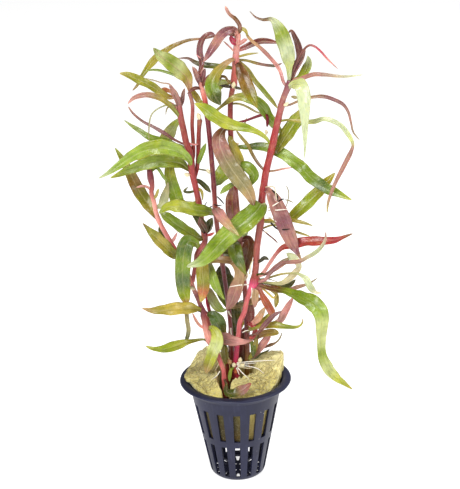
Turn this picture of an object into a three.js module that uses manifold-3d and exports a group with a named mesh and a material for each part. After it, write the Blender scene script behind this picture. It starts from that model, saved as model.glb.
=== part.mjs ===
// Alternanthera rosaefolia, a red and green aquarium stem plant, growing from rock wool in its net pot.
// Millimetres, +Z up. The origin is the middle of the pot's base, on the surface that it stands on.
import * as THREE from "three";
import { mergeVertices } from "three/addons/utils/BufferGeometryUtils.js";
import Module from "manifold-3d";

const wasm = await Module();
wasm.setup();

// Colours of the living parts, from the lightest to the darkest of each hue
const PALE = 0xb9c77a;
const LIME = 0x9fb84a;
const GREEN = 0x6f9a2e;
const DARK_GREEN = 0x3a4a20;
const YELLOW = 0xc2b45c;
const OLIVE = 0x7a7a2c;
const TAN = 0xab8a5c;
const BRONZE = 0x8a5f33;
const RUST = 0xa0522c;
const ROSE = 0xd98a8c;
const SALMON = 0xe3a184;
const MAUVE = 0xa8706a;
const CRIMSON = 0xa83a4c;
const MAROON = 0x5a2230;
const PLUM = 0x6b3a4a;
const POT_GREY = 0x3c3e4e;
const WOOL_YELLOW = 0xbeb46e;

const STEM_ROUGHNESS = 0.45;
const LEAF_ROUGHNESS = 0.5;
const POT_ROUGHNESS = 0.5;
const WOOL_ROUGHNESS = 0.95;

// Net pot: a tapering wall under a flared, rolled lip
const POT_HEIGHT = 51;
const LIP_RADIUS = 27.5;
const LIP_BOTTOM = 49.8;
const MOUTH_RADIUS = 23.6;
const BASE_RADIUS = 10.8;
const BASE_CORNER = new THREE.Vector2(13.4, 0);
const WALL_FOOT = new THREE.Vector2(13.9, 2.5);
const WALL_HEAD = new THREE.Vector2(22.5, 47);
const FLOOR_THICKNESS = 1.2;
const INNER_HEAD = new THREE.Vector2(21.6, 46.6);
const INNER_FOOT = new THREE.Vector2(12.6, FLOOR_THICKNESS);
const POT_SIDES = 32;

// Two tiers of slots round the wall, and two rings of holes in the floor
const SLOT_COUNT = 16;
const UPPER_SLOT = { bottom: 24, top: 40, narrow: 3, wide: 3.4, inner: 15.5, outer: 24 };
const LOWER_SLOT = { bottom: 2.1, top: 20.5, narrow: 2.4, wide: 2.8, inner: 12, outer: 20 };
const OUTER_HOLE = { count: 16, inner: 5.8, outer: 12.1, narrow: 0.9, wide: 2.9 };
const INNER_HOLE = { count: 8, inner: 1.8, outer: 4.6, narrow: 0.9, wide: 1.9 };
const CUT_MARGIN = 1;

// Rock wool: where it stands in the pot, and how its top swells between the middle and the edge
const WOOL_BOTTOM = 20;
const WOOL_BOTTOM_RADIUS = 15.5;
const WOOL_CENTRE_HEIGHT = 56;
const WOOL_DIRECTIONS = 27;
const WOOL_BULGE = 2.4;
const TOP_SHARES = [0.75, 0.45, 0.2];

// Where the wool stands higher than LOBE_HEIGHT it reaches out over the pot's mouth
const LOBE_HEIGHT = 52.5;
const LOBE_REACH = 26;
const MOUTH_REACH = 22.8;
const EDGE_ROUNDING = 0.5;

// The wool's side in the pot as [greatest radius, greatest height, least depth below the upper edge]
const WOOL_SIDE = [[20.7, 46, 4], [22.2, 50.4, 1.6], [22.8, 51.5, 1]];

// The wool's upper edge as [degrees from +X, radius, height]
const WOOL_EDGE = [
  [0, 22.5, 56], [20, 25.5, 61], [32, 25, 59.5], [45, 24, 56.5], [70, 22.5, 53], [90, 22.5, 52],
  [110, 22.5, 55.5], [130, 23, 60.5], [145, 23, 60], [152, 23.5, 57.5], [162, 24.5, 54], [180, 25, 53.2],
  [210, 23.3, 52], [240, 23, 51.2], [270, 23, 51.4], [300, 22.3, 50.2], [315, 21.5, 50], [330, 21, 50.8],
  [345, 21.5, 52],
];

// The pit round the stems' feet, which runs out through the front of the wool as a slit, in plan
const PIT_FLOOR = 36;
const PIT_OUTLINE = [
  [-5.5, -27], [-4, -27], [-3.6, -14], [-2, -10], [1.8, -8], [5, -5.5], [9, -3], [9.8, 1.5], [8, 5.5],
  [3, 8], [-3, 8], [-7.5, 5], [-8, 0], [-7.6, -5], [-8, -9.5], [-7, -13.5], [-5.7, -17],
];

// Growth: the plant was measured by sighting from EYE. A row is [x, z, y, width]: x and z are where the
// point is seen against the upright plane through the pot's axis, y is how far behind that plane it
// lies, and a value left out is that of the row before. Leaves reach further to the front and back of
// their stems than that, LEAF_REACH times as far.
const EYE = new THREE.Vector3(0, -631.3, 353.5);
const LEAF_REACH = 1.35;
const GAP = 0.3;
const BASE_SHARE = 0.35;
const SEARCH_STEPS = 12;
const STEM_SIDES = 5;
const STATIONS_PER_ROW = 0.7;
const FEWEST_SPRIG_STATIONS = 4;
const FEWEST_LEAF_STATIONS = 6;
const LEAF_THICKNESS = 0.5;
const LEAF_OPEN = 25;
const LEAF_FOLD = 0.18;
const THIN_BLADE = 2.9;
const NARROWEST_VIEW = 0.35;

const PLANT = [
  {
    name: "stem_right",
    colour: ROSE,
    routes: [
      [
        [1.5, 35.3, -2.5, 2.6], [0.4, 57, -3, 3.4], [0.5, 60, -3, 2.8], [0.8, 64, -3, 2.6],
        [1.3, 68, -3.2, 2.4], [2.2, 74.4, -3.5, 2.5], [3, 80.2, -3.8, 2.6], [5.2, 85.7, -4.2, 2.5],
        [6.5, 91.2, -4.5, 2.4], [8.5, 97, -5, 2.8], [10.7, 101.5, -5.2, 5], [11, 106, -5.2, 3.2],
        [11.5, 110, -5.3], [12, 118, -5.5], [13, 125, -5.7, 3.3], [14, 131, -5.8, 3.4], [15, 144, -6],
        [16, 150], [17, 156], [18.5, 162, -6, 3.2], [20, 168], [21.5, 175], [23, 181, -6, 3], [24.5, 187],
        [25.5, 191, -6, 2.8], [27.5, 196], [29, 200, -6, 2.6],
      ],
    ],
    sprigs: [
      [[11.2, 99.8, -5.2, 1.4], [11, 97, -6.5, 2.8], [10.6, 92.5, -7, 3.6], [10.4, 87.5, -7, 0.5]],
      [
        [12.5, 100, -5.2, 0.8], [15, 97, -6, 0.9], [17.5, 94.5, -6.5, 1], [19.5, 92.6],
        [21.5, 94.5, -6.5, 0.4],
      ],
      [
        [12.5, 100.5, -4, 0.8], [17, 97.5, -3.5, 1.2], [20.8, 94.5, -3.5, 1.8], [21, 91, -4, 2.4],
        [20.3, 87.3, -4.5, 0.6],
      ],
      [
        [12.8, 101.5, -5.2, 1], [18, 100.5, -7], [23, 100, -9, 2], [27, 102, -10, 3], [30, 105, -11, 3.2],
        [32, 108, -12, 2.6], [31.3, 110.5, -12, 3], [29, 113, -12, 3.8], [26, 115.7, -12, 1],
      ],
      [
        [12.5, 101, -5, 0.8], [18, 99.7, -5.5, 1], [23, 99, -6, 2], [27, 98.7, -6.5, 2.8],
        [30.5, 102, -7, 0.6],
      ],
      [
        [12.6, 103, -5.2, 1], [17, 105.5, -4, 1.4], [21, 108, -3, 2.8], [24.5, 110.6, -2.5, 3],
        [28, 113.4, -2, 0.6],
      ],
      [
        [12.5, 100, -4, 0.8], [22, 97.5, -3, 1], [28, 97, -3, 1.4], [31, 97.7, -3, 2], [36, 99.2, -3, 1.2],
        [38.5, 100.6, -3, 0.8], [41, 102.3, -3, 0.3],
      ],
      [[11.4, 111, -5.4, 0.8], [13.7, 112, -7.2, 1.6], [15.5, 113.3, -7.6, 2], [17.8, 112.4, -7.8, 0.4]],
      [
        [14.2, 133, -5.8, 0.9], [21, 132.7, -8, 1.4], [26, 132.5, -9, 1.8], [30, 131.8, -10, 1.9],
        [34, 130.8, -11, 1.6], [39, 129, -12, 0.4],
      ],
      [
        [13.4, 128, -5.8, 0.8], [20, 130, -6, 1], [26, 128.5, -7, 1.2], [30, 126.5, -8, 1.3],
        [34, 125, -9, 1.1], [37.5, 123.8, -9, 0.4],
      ],
      [[17.3, 156.5, -6, 0.7], [21, 156.9, -7, 0.9], [25, 157.7, -8], [29.8, 158.3, -8, 0.3]],
      [
        [17, 156, -6, 1], [13.3, 161, -4, 1.4], [11, 165, -2.5, 1.6], [9, 169.5, -2], [6, 173.5, -2, 1.5],
        [3.3, 177.5, -2, 0.4],
      ],
      [
        [29.2, 200, -6, 1], [33.5, 200.2, -8, 2], [36, 201.3, -9], [40, 202.3, -10], [44, 202.2, -11, 1.8],
        [50, 201.3, -12, 1.4], [56, 201, -13, 1], [62.5, 201.7, -14, 0.3],
      ],
      [
        [29.2, 200, -6, 0.9], [32, 200.8, -5, 1.6], [34.5, 202.3, -4, 3.4], [36.6, 205.5, -3, 4.2],
        [37.5, 208.5, -3, 3], [37, 211.5, -3, 0.4],
      ],
      [
        [29, 200.5, -6, 1.5], [29.7, 203.5, -6.5, 4.2], [32, 207, -7, 3.8], [34.5, 210.3, -7, 2.2],
        [36.2, 214.5, -7, 0.4],
      ],
      [
        [29.2, 201, -5.5, 0.8], [30.5, 204.5, -3.5, 1.6], [33.3, 210, -3, 3], [33, 215, -3, 3.2],
        [31.5, 219.5, -3, 2.4], [29.7, 222.8, -3, 1.4], [28.4, 222, -3, 0.4],
      ],
      [
        [29, 201, -6.5, 0.7], [31.5, 206.5, -8.3, 0.8], [34.5, 213, -9, 0.9], [38, 216, -9.5, 1],
        [40.5, 215.2, -10], [43, 213, -10.5], [46, 209.5, -11, 0.9], [51, 204.5, -11.5, 0.3],
      ],
      [[0.4, 56, -3, 0.8], [-2, 55, -5, 1.5], [-2.8, 51.5, -7, 1.8], [-3.2, 48.5, -9, 0.5]],
    ],
    leaves: [
      {
        name: "leaf_low_rust",
        colour: RUST,
        route: [
          [11, 99.2, -5.2, 1.6], [12.8, 97.2, -8, 2], [13.9, 94.5, -8, 2.6], [16, 90, -9, 3.8],
          [18.2, 85.6, -10], [19.6, 82.5, -10.5, 0.8],
        ],
      },
      {
        name: "leaf_right_arching",
        colour: GREEN,
        route: [
          [12.5, 100.5, -5.2, 1.8], [15.1, 98.5, -8, 2], [21.2, 96.9, -12, 3.2], [25.2, 96, -15],
          [29.1, 94.4, -18, 4.4], [33.2, 92.2, -21, 6], [37.2, 89.9, -23, 7.5], [40.9, 86.4, -25, 8],
          [42.8, 81.6, -26, 7], [42.9, 77.4, -26, 6], [42.7, 73.9, -26, 5.3], [42.6, 69.2, -25, 4.4],
          [42.6, 64.8, -24, 4.2], [43.2, 60.2, -23, 4.8], [44.8, 55.9, -22, 5.6], [47.5, 51.5, -21, 5],
          [50.9, 48, -20, 3.6], [54.6, 45, -19, 2], [58, 42.2, -18, 0.5],
        ],
      },
      {
        name: "leaf_right_pale_curl",
        colour: PALE,
        route: [
          [12.5, 102.8, -5.2, 0.8], [16, 102.7, -6.8, 0.9], [20, 103.9, -9, 1], [25.2, 105, -12],
          [31.3, 104.7, -15, 1.2], [34, 103.2, -16.5, 2.2], [35.7, 101.3, -17.5, 3.2],
          [36.8, 98.8, -18, 3.3], [38.2, 96.4, -18.5, 3], [40, 94.8, -19, 1.6], [43.2, 94.3, -19.5, 0.4],
        ],
      },
      {
        name: "leaf_right_crimson",
        colour: CRIMSON,
        route: [
          [12.2, 104, -5.2, 1.5], [15, 106, -7.2, 1.8], [18, 110.5, -8], [21, 115, -9],
          [24, 118.2, -10, 2.2], [27, 119.2, -11, 3.4], [31, 120.2, -12, 4.5], [36, 121, -13, 4.6],
          [41, 121, -14, 4.4], [46, 121, -15, 3.8], [50, 121.5, -16, 2.8], [54, 123, -17, 1.6],
          [58, 124.6, -18, 0.4],
        ],
      },
      {
        name: "leaf_right_upcurved",
        colour: OLIVE,
        route: [
          [12.8, 101.8, -5.2, 1.2], [15.5, 102, -9, 1.6], [18, 105, -10.5], [21, 108, -12],
          [24, 110.3, -14, 1.7], [27.5, 110.8, -17, 1.8], [32.5, 111.1, -19, 1.9], [36, 113, -20, 2],
          [40, 115.3, -20.5], [43, 118.3, -21, 1.8], [44.7, 122, -22, 1.3], [45, 126, -22, 0.4],
        ],
      },
      {
        name: "leaf_right_rising_olive",
        colour: OLIVE,
        route: [
          [14.3, 132, -5.8, 1], [20, 131.5, -4, 1.5], [25, 132, -3, 3], [28.5, 133.3, -2, 4.2],
          [32, 136.2, -1, 5.4], [37, 141, 0, 5.9], [42, 146.2, 1, 5.4], [46, 151, 2, 3.8],
          [49.5, 155.2, 3, 0.6],
        ],
      },
      {
        name: "leaf_front_bright_green",
        colour: GREEN,
        open: 15,
        route: [
          [14.8, 141.5, -6, 1.5], [14.4, 140.4, -9, 6], [12.2, 137.2, -11, 9.2], [6, 131.5, -12, 10],
          [1, 127.5, -12.5, 9.5], [-5, 122, -14, 9], [-10, 116.5, -16, 8], [-15, 112.3, -18, 5],
          [-22, 110, -20, 1.2],
        ],
      },
      {
        name: "leaf_right_pink_hanging",
        colour: ROSE,
        route: [
          [15.6, 148, -6, 1.4], [18, 147.3, -9, 3], [20.8, 142, -12, 6.4], [23.5, 135, -13, 7.8],
          [26, 128, -14, 7.6], [29, 120.3, -14.5, 5.6], [31.2, 115.8, -15, 2.4], [33.2, 111.8, -15, 0.5],
        ],
      },
      {
        name: "leaf_right_upright_green",
        colour: GREEN,
        route: [
          [19.8, 166, -6, 1.2], [22, 166.2, -4, 2], [24.5, 170, -3, 4.5], [28, 175.5, -2.5, 6.4],
          [31, 180, -2], [33.3, 183.6, -2, 4.5], [35.5, 187.5, -2, 0.6],
        ],
      },
      {
        name: "leaf_upper_yellow_green",
        colour: LIME,
        route: [
          [20.2, 170, -6, 1], [17.5, 172.8, -7, 1.6], [14, 175.5, -7.5, 2.4], [9, 177.7, -8, 3.4],
          [4, 178.9, -8.5, 4.6], [-2, 181, -9, 5.6], [-7, 184.6, -9.5, 6], [-11, 188, -10, 4.6],
          [-15.3, 190.5, -10.5, 0.5],
        ],
      },
      {
        name: "leaf_right_hooked",
        colour: OLIVE,
        route: [
          [23.2, 181.4, -6, 1], [28, 181.3, -8, 1.1], [33, 180.6, -9, 1.6], [37, 180, -10, 2],
          [40, 180.1, -11, 2.2], [44, 181.2, -12], [48, 180.3, -13], [52, 178, -14], [55, 174.3, -14.5],
          [57, 171, -15, 1.8], [57.8, 168.3, -15, 1.4], [57.2, 165.8, -15, 1.8], [56, 163, -15, 2.2],
          [54, 159], [52, 155, -15, 2], [50, 151, -15, 1.8], [48.3, 147, -15, 1.6], [46.2, 140.5, -15, 1.2],
          [45.6, 135, -15, 0.4],
        ],
      },
      {
        name: "leaf_right_brown_arch",
        colour: BRONZE,
        route: [
          [24.8, 188, -6, 1], [28.5, 188.4, -4], [32.5, 190, -3, 1.2], [38, 191.5, -2, 1.5],
          [43, 192, -1, 1.7], [48, 190.7, 0, 1.8], [53, 188, 1, 1.6], [55.5, 184.5, 1.5, 1.3],
          [56.8, 179.5, 2, 1], [58, 174.5, 2, 0.8], [61, 170.5, 2, 0.3],
        ],
      },
      {
        name: "leaf_right_pale_hanging",
        colour: PALE,
        route: [
          [27.8, 197, -6, 1.2], [30, 198, -9, 3], [33.5, 197.3, -13, 6.3], [35, 193, -15, 6.4],
          [35.3, 186, -17, 5.2], [35.5, 178, -18, 3], [35.5, 170, -18, 1.5], [35.2, 162.5, -18, 0.4],
        ],
      },
      {
        name: "leaf_crown_pink",
        colour: ROSE,
        route: [
          [27.6, 197, -6, 1.2], [25.8, 199.5, -4, 1.5], [24.2, 205, -2, 1.7], [21, 209.5, -1, 1.8],
          [18, 213, -0.5], [15, 216, 0, 1.6], [12, 218.6, 0, 1.4], [10, 221, 0, 1.2], [9, 224.3, 0, 0.4],
        ],
      },
      {
        name: "leaf_top_right_pale",
        colour: LIME,
        route: [
          [28.8, 200.5, -6, 1.4], [28.6, 206, -9, 3], [28, 212, -11, 6.5], [26, 219, -12, 7],
          [23.6, 225, -12, 5], [20.8, 228.2, -12, 2.2], [17, 228.3, -12, 1.2], [14, 229.4, -12, 0.8],
          [11, 232.5, -12, 0.3],
        ],
      },
      {
        name: "leaf_back_middle_broad",
        colour: GREEN,
        route: [
          [14.6, 137, -6, 1.2], [12, 135.5, 2, 4], [8, 132, 10, 7.5], [4, 127, 17, 8], [0, 121.5, 23, 6],
          [-4, 117, 27, 0.6],
        ],
      },
      {
        name: "leaf_back_right_small",
        colour: OLIVE,
        route: [
          [20.6, 172, -6, 1], [24, 171.5, 4, 4], [27.5, 174.5, 10, 6], [30.5, 179, 15, 5.5],
          [33, 183, 19, 0.6],
        ],
      },
    ],
  },
  {
    name: "stem_tall",
    colour: SALMON,
    routes: [
      [
        [5.5, 37.2, 1.5, 2.6], [6, 60], [6.3, 75], [6.2, 90], [5.3, 105, 2], [4.4, 120],
        [3.4, 135, 2.5, 2.5], [2.4, 150], [1.6, 162], [1.2, 170], [1, 178], [1.1, 185], [1.5, 191.5],
        [2.3, 196], [3, 198.5, 2.5, 3.4], [3.4, 203, 2.5, 3], [4, 207], [4.5, 213], [5, 217.5],
        [5.6, 222.5, 2.5, 2.4],
      ],
    ],
    sprigs: [
      [
        [5.8, 222.5, 2.5, 1.4], [6.6, 225.5, 2, 1.9], [4.6, 229, 2], [2.6, 230.6, 2, 1.5],
        [1.6, 231.8, 2, 1.5], [0.8, 233.5, 2, 1.4], [0.2, 235.2, 2, 0.4],
      ],
      [[5.6, 221.5, 2.5, 1], [7.5, 224.3, 2, 1.8], [9, 223.5, 1.5, 1.6], [10, 221, 1.5, 0.4]],
      [[5, 217.8, 2.5, 1], [3.4, 218.6, 0.5, 2.6], [2.6, 220.4, 0.3, 2.2], [2.8, 221.6, 0.5, 0.5]],
      [[4.5, 213, 2.5, 0.7], [2.5, 215.5, 1, 0.8], [0.5, 217.5, 0], [-1.2, 219.2, 0, 0.3]],
      [[5.2, 217, 2.5, 0.8], [7, 218, 1, 1.8], [8.6, 219, 0.5], [10, 219.6, 0, 0.5]],
      [
        [4.6, 214, 2.5, 1.2], [8, 215.5, 5, 2.4], [12, 217.3, 7, 2.8], [16, 218.4, 8], [20, 218.3, 8, 2.2],
        [24.5, 217.2, 8, 0.5],
      ],
      [
        [4.3, 210, 2.5, 1], [9, 209.8, 5, 1.2], [14, 208.3, 7, 1.3], [19, 207.2, 9], [22.5, 207, 10, 1.2],
        [25.5, 208.2, 11, 0.4],
      ],
      [[4.5, 211.3, 2.5, 0.8], [9, 212.5, 1, 1.1], [15.3, 213.2, 0, 0.3]],
      [
        [3.9, 206.3, 2.5, 1], [0, 206.8, 5, 2], [-5, 207.5, 7, 2.6], [-10, 208.1, 8], [-14, 209.5, 9, 2],
        [-17.3, 211.5, 9, 1.2], [-22, 211.8, 9, 0.3],
      ],
      [
        [3, 199, 2.5, 0.8], [0.8, 200, 0, 1], [-0.8, 202.4, -0.5, 1.2], [-2.6, 202.6],
        [-3.2, 200.3, -0.5, 0.3],
      ],
      [[2.6, 197.5, 2.5, 0.8], [-0.5, 198.1, 0, 1.5], [-3.4, 198.5, -1, 0.4]],
      [[3, 197.5, 2.5, 0.8], [5, 197, 0, 1.3], [7, 196.3, -1, 0.4]],
      [
        [4.2, 210, 2.5, 1], [6.5, 208.7, 4, 1.4], [9.5, 205.5, 5, 2], [13, 200, 6, 2.2], [17, 195, 6.5],
        [20.5, 190.5, 7, 1.8], [23.2, 186.7, 7, 0.4],
      ],
      [
        [1.4, 189.8, 2.5, 0.8], [4, 189.8, 1, 0.9], [7, 189, 1, 1], [10, 187.5], [13, 185.6, 1, 0.9],
        [16.3, 184.4, 1, 0.3],
      ],
      [[1.1, 177, 2.5, 0.7], [5.5, 178, 1, 0.8], [7.5, 180], [8.8, 183.2, 1, 0.3]],
      [
        [1.1, 175, 2.5, 1], [0.8, 172.5, -0.5, 2.6], [2.8, 168, -1, 4], [4.6, 163.5, -1.5],
        [6.2, 159.5, -2, 2], [7, 157, -2, 0.5],
      ],
      [
        [2, 160, 2.5, 0.8], [5, 160.3, -2, 3], [8.5, 158.9, -3.5, 5], [11.3, 155.3, -4],
        [10.6, 151.8, -4, 2.5], [9.3, 149.6, -4, 0.5],
      ],
      [[2.2, 150.5, 2.5, 0.8], [0.3, 150.3, -3, 2.2], [-1.8, 148.8, -4.2, 2.8], [-4.9, 146.2, -5, 0.4]],
      [
        [3.2, 132, 2.5, 1], [1, 134.5, -0.5, 4.5], [0.8, 139, -1, 6.4], [0.9, 144, -1.2, 6.2],
        [1, 148.5, -1.2, 2.6], [1, 150.5, -1.5, 0.5],
      ],
      [
        [4.6, 122.5, 2, 0.9], [7.8, 123, 0.5, 4], [8.2, 119, -0.5, 6.2], [6.8, 113.5, -1],
        [5.8, 108, -1.2, 4], [5.4, 103.5, -1.2, 0.5],
      ],
      [
        [6.3, 92, 1.5, 1], [7.8, 90, -0.5, 2.4], [8.6, 86, -1, 3.4], [8.5, 82, -1.5, 2.8],
        [8, 79, -1.5, 0.5],
      ],
      [
        [6.4, 78.5, 1.5, 1], [9.5, 79.8, -3, 2.2], [12, 82, -6, 3.4], [14, 85.3, -7.5, 2.8],
        [15.4, 88, -8, 0.6],
      ],
      [
        [6.4, 76.5, 1.5, 1], [10, 78.3, -2, 1.6], [14, 80.5, -4.5, 2.4], [16.6, 83, -6, 2],
        [18.8, 85.7, -7, 0.6],
      ],
      [
        [6.5, 72.5, 1.5, 1], [9.5, 73.5, -6, 1.2], [11.7, 74.5, -9, 1.4], [13.5, 76.5, -10.5, 2.2],
        [15.5, 79, -11.5, 2.5], [18, 81.7, -12, 2.6], [20, 83.6, -12, 2], [23.5, 85.6, -12, 0.4],
      ],
      [
        [6.4, 70, 1.5, 1], [9.5, 71.3, -0.5, 1.8], [12.4, 72.9, -2.5, 3], [15.9, 74, -4, 3.5],
        [19.4, 74.1, -5, 3.4], [22, 73.8, -5.5, 1.4],
      ],
      [
        [6.2, 60.5, 1.5, 1], [9, 61.3, 0.5, 1.2], [10.6, 63, 0, 1.8], [12.2, 65.4, -0.5, 2.8],
        [14, 68.2, -0.8, 3.7], [16, 71, -1, 3.4], [18, 74, -1, 0.6],
      ],
      [[6.2, 60, 1.5, 0.7], [10.2, 60.8, 2.5, 0.9], [12.8, 63, 3], [16, 64.4, 3.5], [17.3, 65.5, 3.5, 0.3]],
      [
        [6.2, 63, 1.5, 0.8], [11, 65], [16, 67, 1, 1.2], [18, 67.7, 1, 1.8], [20, 68.7, 0.5, 0.9],
        [21.5, 70, 0, 0.8], [22.7, 72, 0, 0.7], [23.4, 74.6, 0, 0.3],
      ],
      [[6.3, 70, 1.5, 0.8], [8.5, 69, -1.5, 2], [9.2, 65.5, -2.5, 2.8], [8.8, 61, -3, 0.6]],
      [
        [6.6, 79.5, 1.5, 1], [8, 79.3, -2, 2], [9.8, 77.5, -3.5, 2.6], [10.2, 74.8, -4], [9, 72.3, -4, 2],
        [7, 71.8, -3.5, 0.5],
      ],
      [
        [5.8, 78, 1.5, 1], [4.9, 74, 3.5, 4.4], [4.4, 68.5, 4.5, 5.4], [4.4, 62, 4.8, 5],
        [4.7, 56.2, 4.5, 1.6],
      ],
      [
        [7.4, 59.4, 1.5, 0.8], [9, 63.7, -1, 2.2], [10.3, 67.9, -2, 2.6], [11.1, 72.2, -2, 1.6],
        [12.4, 75.3, -2, 0.5],
      ],
      [[3, 200, 2.5, 1], [0, 199.5, 8, 3], [-3.5, 198.5, 13, 5], [-7, 197, 17], [-10, 195, 20, 0.6]],
    ],
    leaves: [
      {
        name: "leaf_low_right_olive",
        colour: OLIVE,
        route: [
          [6.5, 75, 1.5, 1], [7.2, 75.6, -4.5, 1.2], [10.5, 77, -7.5, 1.6], [15, 77.9, -8.8, 2.8],
          [20, 78.1, -10, 3.4], [25, 77.2, -11, 2.4], [29, 76.7, -12.5, 1.7], [32, 77.4, -13.5, 1.1],
          [33.4, 79.2, -14, 0.9], [33.6, 81.5, -14, 0.3],
        ],
      },
      {
        name: "leaf_right_pink_upright",
        colour: ROSE,
        route: [
          [6.4, 80.5, 1.5, 0.9], [12, 79.5, 2, 1.2], [18, 79, 1.5, 1.6], [22, 80, 0, 3],
          [24.5, 84, -1.5, 3.6], [26.8, 88.3, -3, 3], [28.2, 91, -4, 1.8], [29.1, 93, -4.5, 0.4],
        ],
      },
      {
        name: "leaf_middle_green",
        colour: GREEN,
        route: [
          [4.3, 121.5, 2, 1], [1.5, 121, -3, 5], [1.6, 117, -6, 7], [3, 112.5, -7.5, 5.5],
          [4.6, 109, -8, 3.5], [6.5, 105, -8.5, 0.6],
        ],
      },
      {
        name: "leaf_right_broad_green",
        colour: GREEN,
        route: [
          [1.3, 168.8, 2.5, 1], [4, 169, 3, 1.5], [8, 168.7, 2.5, 2.5], [13, 169, 2, 3.5],
          [18, 168, 1, 4.2], [24, 165.5, -1, 5], [30, 161, -4, 5.5], [34, 157.5, -7, 5.6], [38, 153, -8],
          [42, 149.7, -9, 5.4], [46, 147, -10, 5], [51, 144.5, -11, 3.4], [57.5, 141.3, -12, 0.5],
        ],
      },
      {
        name: "leaf_middle_brown_grey",
        colour: TAN,
        open: 15,
        route: [
          [0.9, 178, 2.5, 1.2], [-2.2, 177.6, -1, 2.6], [-4.4, 173.5, -3, 6.4], [-3.2, 167, -4.5, 7.8],
          [0.6, 159, -6, 8], [5, 152.5, -7, 7.6], [8.4, 147.2, -8, 6], [10, 143.3, -8.5, 4],
          [11.2, 139.5, -8, 0.6],
        ],
      },
      {
        name: "leaf_upper_brown_olive",
        colour: BRONZE,
        route: [
          [4.1, 208.5, 2.5, 1.2], [5.6, 207.6, -1, 3], [7, 203.3, -4, 5.4], [9, 198, -6, 6.2],
          [11, 193, -7.5, 5.4], [12.6, 189.7, -8.5, 2.5], [13.6, 187.3, -9, 0.5],
        ],
      },
      {
        name: "leaf_upper_hanging_green",
        colour: GREEN,
        route: [
          [4.2, 211, 2.5, 1.2], [1.5, 209.8, -1, 2.2], [-1.5, 207.6, -3, 3.2], [-5, 203.5, -5, 4.8],
          [-7, 199, -6, 6.4], [-6.2, 194.8, -7, 7], [-4.6, 191.5, -7.5, 4], [-3.2, 189.3, -8, 0.6],
        ],
      },
      {
        name: "leaf_crown_purple",
        colour: PLUM,
        route: [
          [5.6, 221.5, 2.5, 1.4], [4.2, 224, 0, 2.6], [1, 223.6, -2, 4], [-2, 221.5, -3.5, 4.2],
          [-5, 217.5, -5, 4], [-8, 213, -6, 2.8], [-10.6, 209.6, -7, 0.5],
        ],
      },
      {
        name: "leaf_top_arching_thin",
        colour: BRONZE,
        route: [
          [5.2, 221.5, 3, 1.5], [0, 222.3, 5, 1.2], [-5, 221.5, 6, 1], [-10, 220.5, 7],
          [-15, 220.2, 8, 1.2], [-20, 219, 8, 1.6], [-25, 216.8, 8, 2.2], [-30, 213.5, 7, 3.2],
          [-33.5, 210.5, 6, 3.5], [-36, 207.5, 5, 2.6], [-39, 203.5, 4, 1.8], [-41, 199.8, 3, 1.3],
          [-43.5, 197.3, 3, 0.4],
        ],
      },
      {
        name: "leaf_back_low",
        colour: GREEN,
        route: [
          [6.2, 92, 1.5, 1.2], [5, 90, 8, 5], [3, 85, 14, 8], [1, 79, 19, 7], [-1, 73, 22, 4],
          [-3, 69, 24, 0.6],
        ],
      },
    ],
  },
  {
    name: "stem_center",
    colour: MAROON,
    routes: [
      [
        [-1.5, 38.7, 4.5, 2.2], [-1.5, 60], [-1.6, 75], [-2.5, 90], [-4, 105, 4], [-5.6, 120, 3.5],
        [-7, 135, 3, 2.3], [-7.5, 148, 2.5], [-8, 160, 2, 2.4], [-8.5, 170, 1.5], [-9.2, 180, 1],
        [-9.8, 188], [-10.5, 193], [-11.5, 197], [-12.4, 201, 1, 2.2], [-12.8, 204.5, 1, 2],
      ],
    ],
    sprigs: [
      [[-12.6, 202, 1, 0.8], [-14, 205.5], [-15.7, 208, 1, 0.3]],
      [[-12.4, 202, 1, 0.8], [-11.5, 205], [-10.3, 207.5, 1, 0.3]],
      [
        [-12.5, 204, 1, 1], [-11.2, 209.5, 3, 1.8], [-12, 214, 3, 2.1], [-11.3, 218.5], [-9, 221.8, 3, 2],
        [-6.3, 222.6, 3, 1.6], [-4.4, 221, 3, 0.4],
      ],
      [[-11.6, 197.5, 1, 0.9], [-9.8, 201, -1, 1.6], [-8, 204, -1.5, 0.5]],
      [[-11.6, 197.5, 1, 0.9], [-15, 197.4, -1.5, 1.8], [-18.5, 195, -2.5, 0.5]],
      [
        [-10.3, 191.5, 1, 0.9], [-12.4, 190.5, 3.5, 2.4], [-14.4, 193.5, 4.5, 3], [-16.2, 197, 5, 1.6],
        [-17.3, 199, 5, 0.4],
      ],
      [
        [-2.4, 88, 4.5, 1], [-0.5, 88.3, 1.2, 1.6], [3, 88.9, 0.2, 1.8], [7, 90.2, 0, 2.6],
        [10, 91.2, -0.4, 3.4], [12.5, 92, -1, 2], [14, 92.5, -1, 0.5],
      ],
      [
        [-12.2, 198.6, 1, 1.4], [-13.4, 202.4, -0.5, 2.4], [-14.5, 205.7, -1.2, 2.2],
        [-15.6, 207.9, -1.5, 0.4],
      ],
      [[-11.9, 198.6, 1, 1.4], [-11, 202.3, 0, 2.4], [-10.2, 205.3, -0.5, 1.8], [-9.7, 206.9, -0.6, 0.4]],
      [
        [-3, 94.2, 4.4, 1], [-0.2, 89.5, 7, 5.6], [0.6, 82.6, 8.5, 7], [0.9, 75.7, 8.5, 5.5],
        [1.3, 69.8, 8, 0.8],
      ],
      [[-1.6, 73.6, 4.5, 0.8], [-1.5, 69.4, 6, 3], [-1.6, 64.5, 6.6, 3.6], [-2, 59.7, 6.5, 0.6]],
      [[-5, 112.1, 3.8, 1], [-6.2, 114.8, 6, 4], [-3.3, 116, 7, 4.4], [-0.5, 114.9, 7, 0.6]],
    ],
    leaves: [
      {
        name: "leaf_middle_dark",
        colour: DARK_GREEN,
        open: 15,
        route: [
          [-4.6, 111, 4, 1], [-4.6, 108.5, 7, 6.6], [-4.5, 103, 9, 10.4], [-3.4, 97, 10, 9.4],
          [-2, 91, 11, 6], [0, 85, 12, 0.6],
        ],
      },
      {
        name: "leaf_left_yellow_green",
        colour: LIME,
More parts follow.
